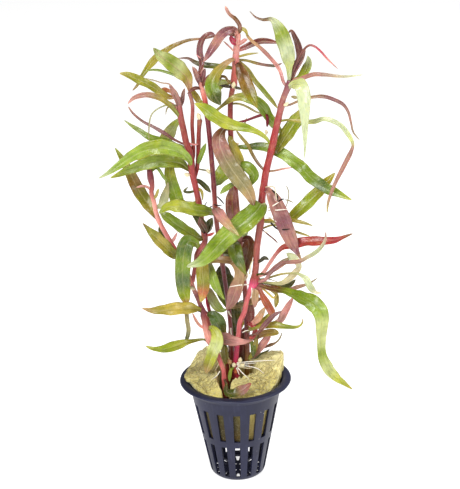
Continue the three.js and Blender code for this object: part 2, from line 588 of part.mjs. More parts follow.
        route: [
          [-7.4, 136.5, 2.8, 1], [-10.5, 137.8, -2, 4], [-15, 138.2, -5.5, 5.8], [-20, 139.5, -8, 6.2],
          [-26, 140.7, -10, 5.8], [-30, 140.3, -11, 4], [-34, 137.5, -12, 0.6],
        ],
      },
      {
        name: "leaf_front_salmon",
        colour: SALMON,
        route: [
          [-7, 139.5, 2.8, 1], [-7, 138.6, -4, 3.6], [-5.2, 136, -10, 5], [-2, 131.2, -15, 4.2],
          [3.9, 124.8, -18.5, 0.5],
        ],
      },
      {
        name: "leaf_upper_long_olive",
        colour: OLIVE,
        route: [
          [-9.5, 184.5, 1, 1], [-4, 187.7, -1.5, 1.2], [-1, 190, -2, 1.8], [3, 192.3, -2.5, 3],
          [8, 192.5, -2.5, 4.4], [13, 190.5, -2.8, 5], [16.5, 187, -2.5], [18.8, 183, -1.5, 4.4],
          [21, 179.7, -0.5, 4], [24, 176, 0.5, 2.4], [26.8, 172.7, 1, 0.5],
        ],
      },
      {
        name: "leaf_back_middle_upright",
        colour: GREEN,
        route: [
          [-7.6, 150, 2.5, 1.2], [-6, 152, 8, 5], [-3, 156, 14, 7.5], [0, 160, 19, 7], [2.5, 164, 23, 4.5],
          [5, 168, 26, 0.6],
        ],
      },
    ],
  },
  {
    name: "stem_left_crown",
    colour: CRIMSON,
    routes: [
      [
        [-4.5, 36.8, 0.5, 2], [-4.2, 60], [-6.5, 68, 1], [-8.5, 76, 1.5], [-9.8, 81], [-11.8, 87, 1, 1.8],
        [-12.6, 94, 0.5], [-12.3, 104, 0, 2], [-12.5, 115, -0.5, 2.2], [-13.2, 127, -1.5, 2.4],
        [-14.6, 140, -2, 2.7], [-16, 149, -2.5, 2.9], [-17.4, 157, -3, 3], [-18, 166, -3.5], [-19.8, 172],
        [-20.8, 178], [-21.8, 184], [-22.3, 189, -3.5, 2.8], [-22.7, 194, -3.5, 1.8],
      ],
      [
        [-17.5, 161, -2.8, 1.6], [-16.6, 166, -1, 1.8], [-16.5, 172, 0.5], [-16.7, 180, 1], [-16.2, 190],
        [-17.3, 195.5, 1, 1.6],
      ],
      [
        [-16, 153, -2.6, 1.6], [-15, 160, 0, 2], [-14.4, 166, 1.5], [-14, 172, 2, 2.2], [-13.6, 178, 2, 2],
        [-13, 183, 2, 2.6],
      ],
    ],
    sprigs: [
      [
        [-22.8, 193, -3.5, 0.7], [-26, 199.6, -2, 0.6], [-30, 200.6, -1], [-33, 201.7],
        [-37.5, 203, -1, 0.3],
      ],
      [[-22.8, 192.5, -3, 1], [-26.5, 196.5, -2, 1.6], [-29, 196.5, -1, 3.4], [-30.5, 194.6, -1, 1]],
      [
        [-22, 183, -3.5, 1], [-25, 188, -6, 2], [-29, 192, -9, 2.5], [-34, 194.5, -12, 2.7],
        [-39, 194.9, -14, 2.5], [-43, 193.7, -15, 1.8], [-46, 191, -16, 0.5],
      ],
      [
        [-19.8, 170, -3.5, 0.8], [-25, 173.3, -1, 1.1], [-31, 177.5, 2, 1.8], [-35, 180, 3, 1.5],
        [-40, 183, 4, 1.2], [-44, 187, 4, 1], [-45.8, 190, 4, 0.5],
      ],
      [
        [-22, 187, -3.5, 0.7], [-27, 190, -5], [-31, 189, -6], [-35, 186], [-36.5, 181],
        [-37, 172.5, -6, 0.3],
      ],
      [
        [-18.3, 165, -3.5, 1], [-23, 169.5, 0, 2], [-29, 172.5, 2, 2.8], [-36, 174.5, 6, 3],
        [-41, 178, 8, 2.4], [-45, 181, 9, 1.4], [-48, 183.5, 10, 0.4],
      ],
      [
        [-21.8, 183.5, -3.5, 1.2], [-24.5, 180.5, 1, 4], [-27.5, 176, 6, 6], [-30.5, 171.5, 9, 5],
        [-33, 167.5, 11, 0.6],
      ],
      [
        [-12.6, 98.5, 0.3, 1], [-11.3, 96.5, -3, 3.5], [-10, 92.5, -4.5, 4.6], [-8, 88.8, -5, 4.4],
        [-5.2, 86.8, -5, 2.5], [-3.2, 87.2, -5.2, 0.5],
      ],
      [
        [-5.5, 70, 0.8, 1], [-5.2, 67.5, -1.5, 3], [-4.9, 64, -2, 3.6], [-4.6, 60, -2.5, 2.5],
        [-4.5, 58, -2.5, 0.6],
      ],
      [[-16.8, 154, -2.9, 0.9], [-13.5, 152, 0, 2.4], [-11.3, 149.7, 0.5], [-9, 147, 0.5, 0.5]],
      [[-16, 148.5, -2.5, 0.8], [-19, 147.5, -3.5, 1.2], [-21.5, 148], [-19.5, 150.5, -3.5, 0.4]],
      [[-15.6, 150, -2.5, 0.8], [-13.5, 148, -3, 1.4], [-13, 143, -3.5, 0.4]],
      [
        [-17.2, 195.5, 1, 1], [-16.5, 199, 2, 1.2], [-22, 203, 3, 1.3], [-27, 205.3], [-33, 206.7, 2, 1],
        [-37, 206.3, 1, 0.4],
      ],
      [[-14.9, 161, 0.3, 0.9], [-13.4, 164.5, -1.5, 2.2], [-12, 168, -2, 2.3], [-10.4, 171.5, -2, 0.4]],
      [[-15, 159, 0, 0.7], [-11, 158, 0, 0.8], [-9.8, 157.5, -1.5, 1.6], [-9.3, 156.3, -1.5, 0.5]],
      [
        [-21.7, 188, -3.5, 1.4], [-22.8, 191.6, -5, 2.6], [-24.1, 195, -6, 3], [-25.5, 197.8, -6.5, 1.8],
        [-26.6, 199.5, -6.8, 0.4],
      ],
      [[-21.7, 188, -3.3, 1.2], [-20.8, 191.8, -1.5, 2], [-20.2, 195.1, -0.5, 1.8], [-19.4, 197.9, 0, 0.4]],
      [[-21.8, 186.6, -3.3, 0.6], [-24.4, 189.8, -4.5, 0.8], [-27.1, 192, -5, 0.3]],
    ],
    leaves: [
      {
        name: "leaf_left_broad_green",
        colour: LIME,
        open: 18,
        fold: 0.3,
        route: [
          [-17.6, 161.2, -4, 1.5], [-18.3, 164.1, -6, 4], [-21.4, 166.7, -8, 5.6],
          [-26.5, 168.5, -10.5, 6.8], [-32, 169.5, -13, 7.1], [-37.6, 169, -15, 6.6],
          [-43.3, 166.8, -17, 5.6], [-49.1, 163.2, -18.5, 4.2], [-55.4, 158.9, -19.5, 2.4],
          [-61.5, 155.6, -20.5, 0.5],
        ],
      },
      {
        name: "leaf_left_lower_green",
        colour: LIME,
        open: 18,
        route: [
          [-17.6, 158.5, -3, 1.2], [-22.1, 161.4, -3, 4], [-25.5, 162.6, -4, 5.6], [-30.5, 163.1, -6, 6.4],
          [-37, 162.4, -8.5, 6], [-43.6, 160.4, -11, 4.8], [-50.3, 157.9, -13.5, 3],
          [-56.1, 155.6, -15, 0.5],
        ],
      },
      {
        name: "leaf_top_left_pale",
        colour: PALE,
        route: [
          [-17.2, 196, 1, 1.2], [-17.4, 199, 0, 3], [-18.6, 203, -1, 5.5], [-22, 206.5, -3, 7.5],
          [-26, 210, -6, 7], [-30, 213, -9, 5], [-33, 217, -12, 0.6],
        ],
      },
      {
        name: "leaf_left_upper_olive",
        colour: OLIVE,
        route: [
          [-23, 196, -3.5, 1.2], [-27, 193.8, -5, 2.5], [-30.5, 196, -6, 3.2], [-35, 199.3, -8, 3.8],
          [-40, 202, -10], [-45, 204.5, -12, 3], [-49, 205.7, -14, 0.5],
        ],
      },
      {
        name: "leaf_left_upright_olive",
        colour: OLIVE,
        route: [
          [-15.2, 143, -2.5, 1], [-20, 141, -3, 3], [-24.5, 142.5, -4, 6], [-26, 147, -4.5, 6.5],
          [-27.3, 152, -4.5, 6], [-28, 158, -4, 5], [-27.6, 163, -3, 3], [-27, 168, -2, 0.6],
        ],
      },
      {
        name: "leaf_left_middle_green",
        colour: GREEN,
        route: [
          [-13.1, 124.5, -1.5, 1], [-15.8, 124.6, -4, 3.5], [-20, 127.2, -6.5, 5], [-25, 131, -8, 5.2],
          [-30, 135.3, -8.5, 4.6], [-33.5, 138, -7.5, 0.5],
        ],
      },
      {
        name: "leaf_middle_hanging_green",
        colour: GREEN,
        route: [
          [-12.4, 113, -0.5, 1], [-11.2, 109.5, -7, 4], [-9.6, 104, -10.5, 4.8], [-7.8, 98.5, -11, 3.8],
          [-5.8, 95, -11, 2], [-4.2, 92.3, -11, 0.4],
        ],
      },
      {
        name: "leaf_middle_tan_arch",
        colour: TAN,
        route: [
          [-12.3, 111.5, -0.5, 1], [-9, 113, -2, 3], [-4, 112.8, -3, 3.4], [0.5, 111.8, -3.5, 4],
          [3, 108, -4, 4.6], [3.2, 103, -4.2, 5.2], [1.8, 98.5, -4.5, 6.6], [0.4, 94.5, -5, 6.4],
          [-1.2, 90.5, -5.5, 4.6], [-3.6, 87, -6, 0.6],
        ],
      },
      {
        name: "leaf_back_left_low",
        colour: OLIVE,
        route: [
          [-12.8, 120, -0.8, 1.2], [-14, 118, 6, 5], [-14, 113, 12, 6], [-14.4, 107, 16],
          [-14.3, 101, 18, 4.5], [-14.5, 96.5, 19, 0.6],
        ],
      },
      {
        name: "leaf_back_left_broad",
        colour: GREEN,
        route: [
          [-18.6, 168.5, -3.5, 1.2], [-22, 168, 4, 5], [-27, 168, 11, 7], [-33, 167.5, 17],
          [-39, 166.5, 22, 5], [-45, 164.5, 26, 0.6],
        ],
      },
    ],
  },
  {
    name: "stem_left_low",
    colour: SALMON,
    routes: [
      [
        [-5.4, 32.2, -8.5, 2.2], [-5.7, 50, -9], [-5.9, 55, -9.5], [-6.9, 58.4], [-8.5, 63, -9.3, 2.4],
        [-10.6, 67.5, -9, 3], [-12.3, 72, -9, 4], [-13, 76, -9, 4.2], [-13.4, 80], [-14, 84, -9, 4.4],
        [-15, 87, -9, 2.6], [-16, 90, -9, 2.2], [-17.3, 94], [-18.8, 98], [-20.2, 102, -9, 3],
        [-21, 105, -9.3, 2.4], [-22.7, 109, -9.5, 2.2], [-24.5, 113], [-26.5, 117.5], [-28, 121],
        [-31, 127], [-34, 133.5], [-35.3, 138], [-36, 143], [-37, 148], [-36.5, 151], [-37, 155, -9.5, 3.2],
        [-37.5, 160.5, -9.5, 2.4],
      ],
    ],
    sprigs: [
      [[-36.8, 148.5, -9.5, 1], [-38.5, 150.5, -9.5, 1.2], [-41, 151.3], [-44.5, 150.5, -9.5, 0.4]],
      [[-37, 158, -9.5, 1], [-34, 160, -10, 1.5], [-31, 155.5], [-29.5, 153, -10, 0.4]],
      [[-36.4, 145, -9.5, 0.8], [-35, 146, -10.5, 1.4], [-34.2, 148], [-33.5, 150, -10.5, 0.4]],
      [
        [-35.6, 140.5, -9.5, 1], [-32.5, 141.3, -8, 3.5], [-31, 145, -7.5, 4.2], [-29.7, 149.5, -7.5, 2.6],
        [-29, 153, -8, 0.5],
      ],
      [[-29, 123, -9, 1], [-31.5, 125.5, -7, 3], [-33.5, 129, -6, 2.5], [-34, 131.5, -6, 0.5]],
      [[-28.8, 122.5, -9.5, 0.8], [-27.3, 124.5, -10, 1.6], [-25.5, 128, -10.5, 0.4]],
      [[-14.6, 76.5, -9, 1], [-16.5, 79, -9.3, 1.4], [-18.5, 82, -9.5], [-20, 86, -9.5, 0.6]],
      [
        [-15, 85.8, -9, 0.8], [-19, 87.5, -11.3, 1.5], [-22.4, 86.5, -11.5, 2], [-22.7, 82, -12, 2.2],
        [-22.2, 77], [-23, 73, -12, 2], [-24, 71.3, -12, 0.5],
      ],
    ],
    leaves: [
      {
        name: "leaf_left_rising_olive",
        colour: OLIVE,
        route: [
          [-34.2, 134, -9.5, 1.4], [-36.8, 138.3, -7, 4], [-39.5, 143, -5, 5.8], [-43, 149, -4, 6],
          [-46, 156, -4, 5.2], [-49.5, 164, -5, 3.2], [-53, 170.5, -6, 0.5],
        ],
      },
      {
        name: "leaf_left_low_olive",
        colour: OLIVE,
        route: [
          [-25.5, 115, -9.5, 1.2], [-28.5, 117, -13, 4.5], [-32, 121, -15, 5.6], [-36, 125.5, -17, 5.2],
          [-39.5, 129.8, -18, 2.5], [-42, 133, -19, 0.4],
        ],
      },
      {
        name: "leaf_low_left_yellow",
        colour: YELLOW,
        route: [
          [-15.2, 87.6, -9, 1.2], [-17, 88, -11, 2], [-20, 88.3, -13, 4.9], [-25, 88.2, -15, 6.1],
          [-30, 87.9, -17, 6], [-35, 87.6, -18, 4.6], [-40, 87.8, -19, 2.7], [-44.5, 89.2, -20, 0.5],
        ],
      },
      {
        name: "leaf_low_left_lime",
        colour: LIME,
        route: [
          [-12.5, 71.3, -9, 0.8], [-15, 71.6, -10, 1], [-20, 71, -12, 1.9], [-24, 70.2, -14, 3],
          [-27, 69.1, -15, 4.6], [-30, 68.2, -16, 5.2], [-35, 67, -17, 3.6], [-40, 67.4, -18, 2.1],
          [-43.8, 69.2, -19, 0.5],
        ],
      },
      {
        name: "leaf_low_front_lime",
        colour: LIME,
        route: [
          [-12.9, 78, -9, 1.2], [-10.5, 77.5, -13.2, 3], [-8.8, 74.5, -15, 5], [-8.6, 70, -16, 6.5],
          [-10.2, 66, -14, 6.3], [-11.6, 62, -11, 5.6], [-13, 58, -8, 5], [-14.5, 53.5, -6, 0.6],
        ],
      },
      {
        name: "leaf_low_dark_green",
        colour: DARK_GREEN,
        route: [
          [-13, 85.5, -9, 1.2], [-10.5, 84.5, -10.5, 4.5], [-8.3, 81.5, -11, 7], [-6.6, 77.5, -9.5, 6],
          [-5, 74, -7.2, 2.5], [-4, 71.5, -6.6, 0.5],
        ],
      },
      {
        name: "leaf_low_mauve",
        colour: MAUVE,
        route: [
          [-12, 73, -9, 1.2], [-8.8, 72.3, -10.5, 4.5], [-5, 71.4, -11, 6], [-2, 70.6, -11, 5.5],
          [1, 70, -10.5, 4.2], [4, 69.7, -10, 2.8], [7, 70.1, -9.5, 1.5], [9.4, 70.6, -9, 0.4],
        ],
      },
      {
        name: "leaf_on_wool",
        colour: MAUVE,
        route: [
          [-5.7, 50, -9, 1], [-4.6, 47, -15, 1.5], [-4.4, 42.6, -20.5, 3.2], [-1, 41.8, -22.3, 4.6],
          [3, 43.4, -21.5, 5], [6, 45.8, -19.5, 2.6], [7.8, 47.4, -18.5, 0.5],
        ],
      },
    ],
  },
  {
    name: "stem_left_side",
    branchOf: "stem_left_low",
    colour: ROSE,
    routes: [
      [
        [-19.6, 102.5, -9.2, 2], [-18.6, 106, -9.5], [-17.5, 111, -10, 2.3], [-16.5, 116.5, -10, 2.5],
        [-15, 119.5], [-12.7, 122.5, -10, 2.4], [-12.2, 127, -10, 2],
      ],
    ],
    sprigs: [
      [
        [-12.2, 126.5, -10, 1], [-12.8, 129.5, -10.5, 4.2], [-14.8, 132.8, -10.5, 4],
        [-18.4, 136.6, -10, 0.5],
      ],
      [[-12.2, 126.5, -10, 1], [-11, 129.5, -9, 4], [-9.8, 132.3, -8.5, 3.4], [-8.6, 134.8, -8.5, 0.4]],
      [[-12, 125.5, -10, 0.8], [-10, 126, -11, 1.4], [-7.8, 127.2, -11.5, 0.4]],
      [
        [-11.6, 127.5, -10, 0.9], [-12.9, 129.3, -11.5, 3.2], [-14.2, 131.8, -12, 3.2],
        [-14.8, 135.1, -12.5, 0.6],
      ],
    ],
    leaves: [
      {
        name: "leaf_front_hanging_broad",
        colour: OLIVE,
        open: 18,
        route: [
          [-15.4, 119.3, -10, 1.2], [-17.5, 122.3, -12.5, 4], [-20.7, 122.6, -14.5, 6.8],
          [-22.7, 118, -15.5, 7.8], [-23.6, 111, -16, 7.5], [-24, 105, -16, 7.2], [-23.8, 99, -14.5, 6.6],
          [-23.2, 94, -12.5, 4.6], [-22.8, 90, -11, 0.8],
        ],
      },
      {
        name: "leaf_front_hanging_narrow",
        colour: OLIVE,
        route: [
          [-16.2, 115.5, -10, 1.2], [-14.4, 112.5, -12.5, 5], [-14.4, 106, -13.5, 6.3],
          [-14.2, 100, -13.5, 6.2], [-14.7, 95.5, -13, 4.2], [-15.8, 91.3, -12.5, 0.5],
        ],
      },
    ],
  },
];

// A closed geometry as a solid that can be joined and cut
function solid(geometry) {
  geometry.deleteAttribute("normal");
  geometry.deleteAttribute("uv");
  const merged = mergeVertices(geometry, 1e-4);
  const corners = merged.index.array;
  const triVerts = [];
  for (let i = 0; i < corners.length; i += 3) {
    const [a, b, c] = corners.subarray(i, i + 3);
    if (a !== b && b !== c && c !== a) triVerts.push(a, b, c);
  }
  return new wasm.Manifold(
    new wasm.Mesh({
      numProp: 3,
      vertProperties: merged.attributes.position.array,
      triVerts: new Uint32Array(triVerts),
    }),
  );
}

// One named mesh of a solid, which stands at its own foot inside its group
function piece(name, colour, roughness, body, foot) {
  const { vertProperties, triVerts } = body.getMesh();
  const geometry = new THREE.BufferGeometry();
  geometry.setAttribute("position", new THREE.BufferAttribute(vertProperties, 3));
  geometry.setIndex(new THREE.BufferAttribute(triVerts, 1));
  geometry.translate(-foot.x, -foot.y, -foot.z);
  geometry.computeVertexNormals();
  const material = new THREE.MeshStandardMaterial({ color: colour, roughness, metalness: 0 });
  const mesh = new THREE.Mesh(geometry, material);
  mesh.name = name;
  mesh.position.copy(foot);
  return mesh;
}

// Closes a run of rings of equal length, from a flat first ring to a pointed tip, into one solid
function skin(rings, tip) {
  const sides = rings[0].length;
  const points = [...rings.flat(), tip];
  const faces = [];
  for (let side = 2; side < sides; side += 1) {
    faces.push([1, side, (side + 1) % sides]);
  }
  for (let ring = 1; ring < rings.length; ring += 1) {
    for (let side = 0; side < sides; side += 1) {
      const low = (ring - 1) * sides + side;
      const lowNext = (ring - 1) * sides + ((side + 1) % sides);
      const high = low + sides;
      const highNext = lowNext + sides;
      if (side < sides / 2) {
        faces.push([lowNext, low, high], [lowNext, high, highNext]);
      } else {
        faces.push([lowNext, low, highNext], [low, high, highNext]);
      }
    }
  }
  const last = (rings.length - 1) * sides;
  for (let side = 0; side < sides; side += 1) {
    faces.push([last + ((side + 1) % sides), last + side, points.length - 1]);
  }
  const sixfold = faces.map(([a, b, c]) => points[a].dot(points[b].clone().cross(points[c])));
  const volume = sixfold.reduce((sum, share) => sum + share) / 6;
  const outward = volume < 0 ? faces.map(([a, b, c]) => [a, c, b]) : faces;
  const geometry = new THREE.BufferGeometry().setFromPoints(points);
  geometry.setIndex(outward.flat());
  return solid(geometry);
}

// An upright prism on a plan outline of [x, y] points
function prism(outline, bottom, height) {
  const shape = new THREE.Shape(outline.map(([x, y]) => new THREE.Vector2(x, y)));
  const geometry = new THREE.ExtrudeGeometry(shape, { depth: height, bevelEnabled: false });
  return geometry.translate(0, 0, bottom);
}

// The outline of the pot's wall and floor, from the middle of the base round the lip to the middle inside
function potProfile() {
  const corner = new THREE.Vector2(BASE_RADIUS, 0);
  const turn = new THREE.QuadraticBezierCurve(corner, BASE_CORNER, WALL_FOOT);
  const points = [
    [0, 0],
    ...turn.getPoints(3).map(({ x, y }) => [x, y]),
    [WALL_HEAD.x, WALL_HEAD.y],
    [MOUTH_RADIUS + 0.3, LIP_BOTTOM - 0.4],
    [LIP_RADIUS, LIP_BOTTOM],
    [LIP_RADIUS - 0.3, POT_HEIGHT],
    [MOUTH_RADIUS, POT_HEIGHT],
    [INNER_HEAD.x, INNER_HEAD.y],
    [INNER_FOOT.x, INNER_FOOT.y],
    [0, FLOOR_THICKNESS],
  ];
  return points.map(([x, y]) => new THREE.Vector2(x, y));
}

// A cutter for one slot of the wall, wider at its top, in front of the pot
function slotCutter({ bottom, top, narrow, wide, inner, outer }) {
  const outline = [[-narrow / 2, bottom], [narrow / 2, bottom], [wide / 2, top], [-wide / 2, top]];
  return prism(outline, inner, outer - inner).rotateX(Math.PI / 2);
}

// A cutter for one radial hole of the floor, in front of the pot
function holeCutter({ inner, outer, narrow, wide }) {
  const outline = [[-narrow / 2, -inner], [-wide / 2, -outer], [wide / 2, -outer], [narrow / 2, -inner]];
  return prism(outline, -CUT_MARGIN, FLOOR_THICKNESS + 2 * CUT_MARGIN);
}

function netPot() {
  const wall = new THREE.LatheGeometry(potProfile(), POT_SIDES);
  let body = solid(wall.rotateX(Math.PI / 2).rotateZ(Math.PI / POT_SIDES));
  const rings = [
    [slotCutter(UPPER_SLOT), SLOT_COUNT, 0],
    [slotCutter(LOWER_SLOT), SLOT_COUNT, 0],
    [holeCutter(OUTER_HOLE), OUTER_HOLE.count, 0],
    [holeCutter(INNER_HOLE), INNER_HOLE.count, 0.5],
  ];
  for (const [cutter, count, offset] of rings) {
    for (let i = 0; i < count; i += 1) {
      body = body.subtract(solid(cutter.clone().rotateZ(((i + offset) * 2 * Math.PI) / count)));
    }
  }
  return body;
}

// Radius and height of the wool's upper edge in one direction
function woolEdge(degrees) {
  const after = WOOL_EDGE.findIndex(([angle]) => angle > degrees);
  const next = after < 0 ? [360, WOOL_EDGE[0][1], WOOL_EDGE[0][2]] : WOOL_EDGE[after];
  const before = after < 0 ? WOOL_EDGE[WOOL_EDGE.length - 1] : WOOL_EDGE[after - 1];
  const share = THREE.MathUtils.smoothstep(degrees, before[0], next[0]);
  return [1, 2].map((i) => THREE.MathUtils.lerp(before[i], next[i], share));
}

function rockWool() {
  const ring = (pick) =>
    Array.from({ length: WOOL_DIRECTIONS }, (_, i) => {
      const degrees = (i * 360) / WOOL_DIRECTIONS;
      const [radius, height] = pick(...woolEdge(degrees));
      const turn = THREE.MathUtils.degToRad(degrees);
      return new THREE.Vector3(radius * Math.cos(turn), radius * Math.sin(turn), height);
    });
  const foot = ring(() => [WOOL_BOTTOM_RADIUS, WOOL_BOTTOM]);
  const side = WOOL_SIDE.map(([widest, highest, below]) =>
    ring((radius, height) => [Math.min(radius, widest), Math.min(highest, height - below)]),
  );
  const reach = (radius, height) => Math.min(radius, height > LOBE_HEIGHT ? LOBE_REACH : MOUTH_REACH);
  const edge = [
    ring((radius, height) => [reach(radius, height), Math.min(LOBE_HEIGHT, height) - EDGE_ROUNDING]),
    ring((radius, height) => [reach(radius, height) - EDGE_ROUNDING, height]),
  ];
  const top = TOP_SHARES.map((share) =>
    ring((radius, height) => {
      const level = THREE.MathUtils.lerp(WOOL_CENTRE_HEIGHT, height, share * share);
      return [radius * share, level + WOOL_BULGE * share * (1 - share)];
    }),
  );
  const block = skin([foot, ...side, ...edge, ...top], new THREE.Vector3(0, 0, WOOL_CENTRE_HEIGHT));
  return block.subtract(solid(prism(PIT_OUTLINE, PIT_FLOOR, 40)));
}

// Real places and widths of a sighted route
function sighted(rows, reach = 1) {
  const foot = rows[0][2];
  let last = [0, 0, 0, 0];
  return rows.map((row) => {
    last = [...row, ...last.slice(row.length)];
    const [x, z, depth, width] = last;
    const y = foot + reach * (depth - foot);
    const nearer = y / EYE.y;
    const at = new THREE.Vector3(x * (1 - nearer), y, z + (EYE.z - z) * nearer);
    return { at, width: width * (1 - nearer) };
  });
}

// Evenly shared stations on the smooth curve through a route, each with the direction it grows in,
// the direction across it and the one that it faces
function stations(route, count) {
  const curve = new THREE.CatmullRomCurve3(route.map(({ at }) => at), false, "centripetal");
  return Array.from({ length: count }, (_, i) => {
    const share = i / (count - 1);
    const at = curve.getPoint(share);
    const along = curve.getTangent(share);
    const across = along.clone().cross(EYE.clone().sub(at)).normalize();
    const face = across.clone().cross(along);
    const step = Math.min(Math.floor(share * (route.length - 1)), route.length - 2);
    const within = share * (route.length - 1) - step;
    const width = THREE.MathUtils.lerp(route[step].width, route[step + 1].width, within);
    return { at, along, across, face, width };
  });
}

// A round stem with a pointed top
function stalk(route) {
  const spots = stations(route, route.length);
  const rings = spots.map(({ at, across, face, width }) =>
    Array.from({ length: STEM_SIDES }, (_, i) => {
      const turn = (i * 2 * Math.PI) / STEM_SIDES;
      const out = across.clone().multiplyScalar(Math.cos(turn)).addScaledVector(face, Math.sin(turn));
      return at.clone().addScaledVector(out, width / 2);
    }),
  );
  const { at, along, width } = spots[spots.length - 1];
  return skin(rings, at.clone().addScaledVector(along, width / 2));
}

// How many stations a leaf's route needs
function stationCount(route) {
  return Math.ceil(STATIONS_PER_ROW * route.length);
}

// A leaf: a blade folded up along its midrib, rolled so that it also turns its face to the sky
function blade(route, count, open = LEAF_OPEN, fold = LEAF_FOLD) {
  const widest = Math.max(...route.map(({ width }) => width));
  const spots = stations(route, count);
  const tip = spots.pop().at;
  const rings = spots.map(({ at, along, across, face, width }) => {
    const roll = THREE.MathUtils.degToRad(open) * across.z;
    across.applyAxisAngle(along, roll);
    face.applyAxisAngle(along, roll);
    const half = width / 2 / Math.max(Math.cos(roll), NARROWEST_VIEW);
    const point = (side, lift) => at.clone().addScaledVector(across, side).addScaledVector(face, lift);
    const edges = [point(-half, fold * half), point(half, fold * half)];
    const thickness = Math.min(LEAF_THICKNESS, width / 2);
    if (widest < THIN_BLADE) return [...edges, point(0, -thickness)];
    return [edges[0], point(0, thickness / 2), edges[1], point(0, -thickness / 2)];
  });
  return skin(rings, tip);
}

// The place on a stem that is nearest to a point, with the stem's direction and width there
function nearestOn(routes, point) {
  const spots = routes.flatMap((route) => stations(route, SEARCH_STEPS * route.length));
  const nearest = Math.min(...spots.map(({ at }) => at.distanceTo(point)));
  return spots.find(({ at }) => at.distanceTo(point) === nearest);
}

// Starts a route on the stem's centreline, for what is one with the stem
function rooted(route, routes) {
  const { at } = nearestOn(routes, route[0].at);
  return [{ at: at.clone(), width: route[0].width }, ...route.slice(1)];
}

// Starts a route just clear of the stem's surface, on the side that it leaves by
function beside(route, routes) {
  const { at, along, width } = nearestOn(routes, route[0].at);
  const out = route[1].at.clone().sub(at);
  out.addScaledVector(along, -out.dot(along)).normalize();
  const reach = width / 2 + GAP + BASE_SHARE * route[0].width;
  return [{ at: at.clone().addScaledVector(out, reach), width: route[0].width }, ...route.slice(1)];
}

// One stem with what is fused to it, and its leaves, in a group that stands at the stem's foot
function growth({ name, branchOf, colour, routes, sprigs, leaves }) {
  const lines = routes.map((rows) => sighted(rows));
  if (branchOf) lines[0] = beside(lines[0], grown.get(branchOf));
  grown.set(name, lines);
  let body = stalk(lines[0]);
  for (const line of lines.slice(1)) {
    body = body.add(stalk(rooted(line, lines.slice(0, 1))));
  }
  for (const sprig of sprigs) {
    const route = rooted(sighted(sprig, LEAF_REACH), lines);
    body = body.add(blade(route, Math.max(FEWEST_SPRIG_STATIONS, stationCount(route))));
  }
  const foot = lines[0][0].at;
  const group = new THREE.Group();
  group.position.copy(foot);
  const stem = piece(name, colour, STEM_ROUGHNESS, body, foot);
  stem.position.set(0, 0, 0);
  group.add(stem);
  for (const leaf of leaves) {
    const route = beside(sighted(leaf.route, LEAF_REACH), lines);
    const shape = blade(route, Math.max(FEWEST_LEAF_STATIONS, stationCount(route)), leaf.open, leaf.fold);
    const mesh = piece(leaf.name, leaf.colour, LEAF_ROUGHNESS, shape, route[0].at);
    mesh.position.sub(foot);
    group.add(mesh);
  }
  return group;
}

const grown = new Map();
const pottedPlant = new THREE.Group();
const origin = new THREE.Vector3();
pottedPlant.add(piece("net_pot", POT_GREY, POT_ROUGHNESS, netPot(), origin));
pottedPlant.add(piece("rock_wool", WOOL_YELLOW, WOOL_ROUGHNESS, rockWool(), origin));
for (const shoot of PLANT) {
  pottedPlant.add(growth(shoot));
}

export default pottedPlant;
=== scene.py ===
# Looks for the potted Alternanthera rosaefolia: leaves, stems, roots, rock wool and net pot round the frame.
# The tables are in millimetres, and everything in the scene is in metres.
import math
import random
from typing import NamedTuple

import bpy
import numpy as np
from mathutils import Matrix, Vector, noise


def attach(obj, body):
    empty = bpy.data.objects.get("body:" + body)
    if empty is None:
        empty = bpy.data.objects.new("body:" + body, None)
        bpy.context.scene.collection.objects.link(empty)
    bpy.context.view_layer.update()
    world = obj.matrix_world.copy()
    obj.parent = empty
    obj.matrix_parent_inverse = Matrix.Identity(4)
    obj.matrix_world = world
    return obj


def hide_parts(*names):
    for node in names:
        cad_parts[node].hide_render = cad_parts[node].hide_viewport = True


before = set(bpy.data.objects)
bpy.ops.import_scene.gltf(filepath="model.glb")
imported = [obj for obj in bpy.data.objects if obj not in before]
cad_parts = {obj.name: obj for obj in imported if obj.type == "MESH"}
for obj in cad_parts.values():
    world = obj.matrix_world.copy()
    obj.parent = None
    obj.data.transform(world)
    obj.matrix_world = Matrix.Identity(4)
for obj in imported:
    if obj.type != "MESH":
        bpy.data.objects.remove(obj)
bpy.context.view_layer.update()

MM = 0.001
TURN = 2 * math.pi

# Colours as sRGB
PALETTE = {
    "white": 0xFBF4E4, "cream": 0xE9DDB6, "mint": 0xC8D2A4, "pale": 0xC1C980, "lime": 0xAEB338,
    "yellow": 0xD0B850, "bright": 0x90AA3E, "green": 0x748E1C, "fern": 0x466028, "moss": 0x8A9C22,
    # Painted shade: 0x160F0A on the next line stands in for the deep shadow inside the plant, on the leaves,
    # sprigs and roots that use it
    "khaki": 0x84840E, "olive": 0xA29436, "dark": 0x3A4406, "black": 0x160F0A, "tan": 0xBA9468,
    "bronze": 0x7E5A14, "umber": 0x66341A, "grey": 0x92875C, "orange": 0xB05C34, "rust": 0xAA4A2E,
    "salmon": 0xF2A898, "blush": 0xDFB9B2, "rose": 0xDC9692, "coral": 0xDA6E5E, "pink": 0xE8457F,
    "rosy": 0xD26264, "rosewood": 0xA44E42, "mauve": 0xA8706A, "brick": 0xA8504A, "red": 0xA42C2C,
    "redbrown": 0x90332A, "crimson": 0xB63444, "magenta": 0xC01450, "wine": 0x701426, "maroon": 0x6C2028,
    "plum": 0x844C5A,
}


class Stem(NamedTuple):
    """A stem with all that grows from it.

    tints are [height, colour] stops, routes[0] is the main shoot, sprigs are the small leaves of the
    stem's own node as (look, rows), and leaves are nodes of their own as (node, look, rows).
    """

    name: str
    tints: list
    routes: list
    sprigs: list
    leaves: list
    branch_of: str = ""


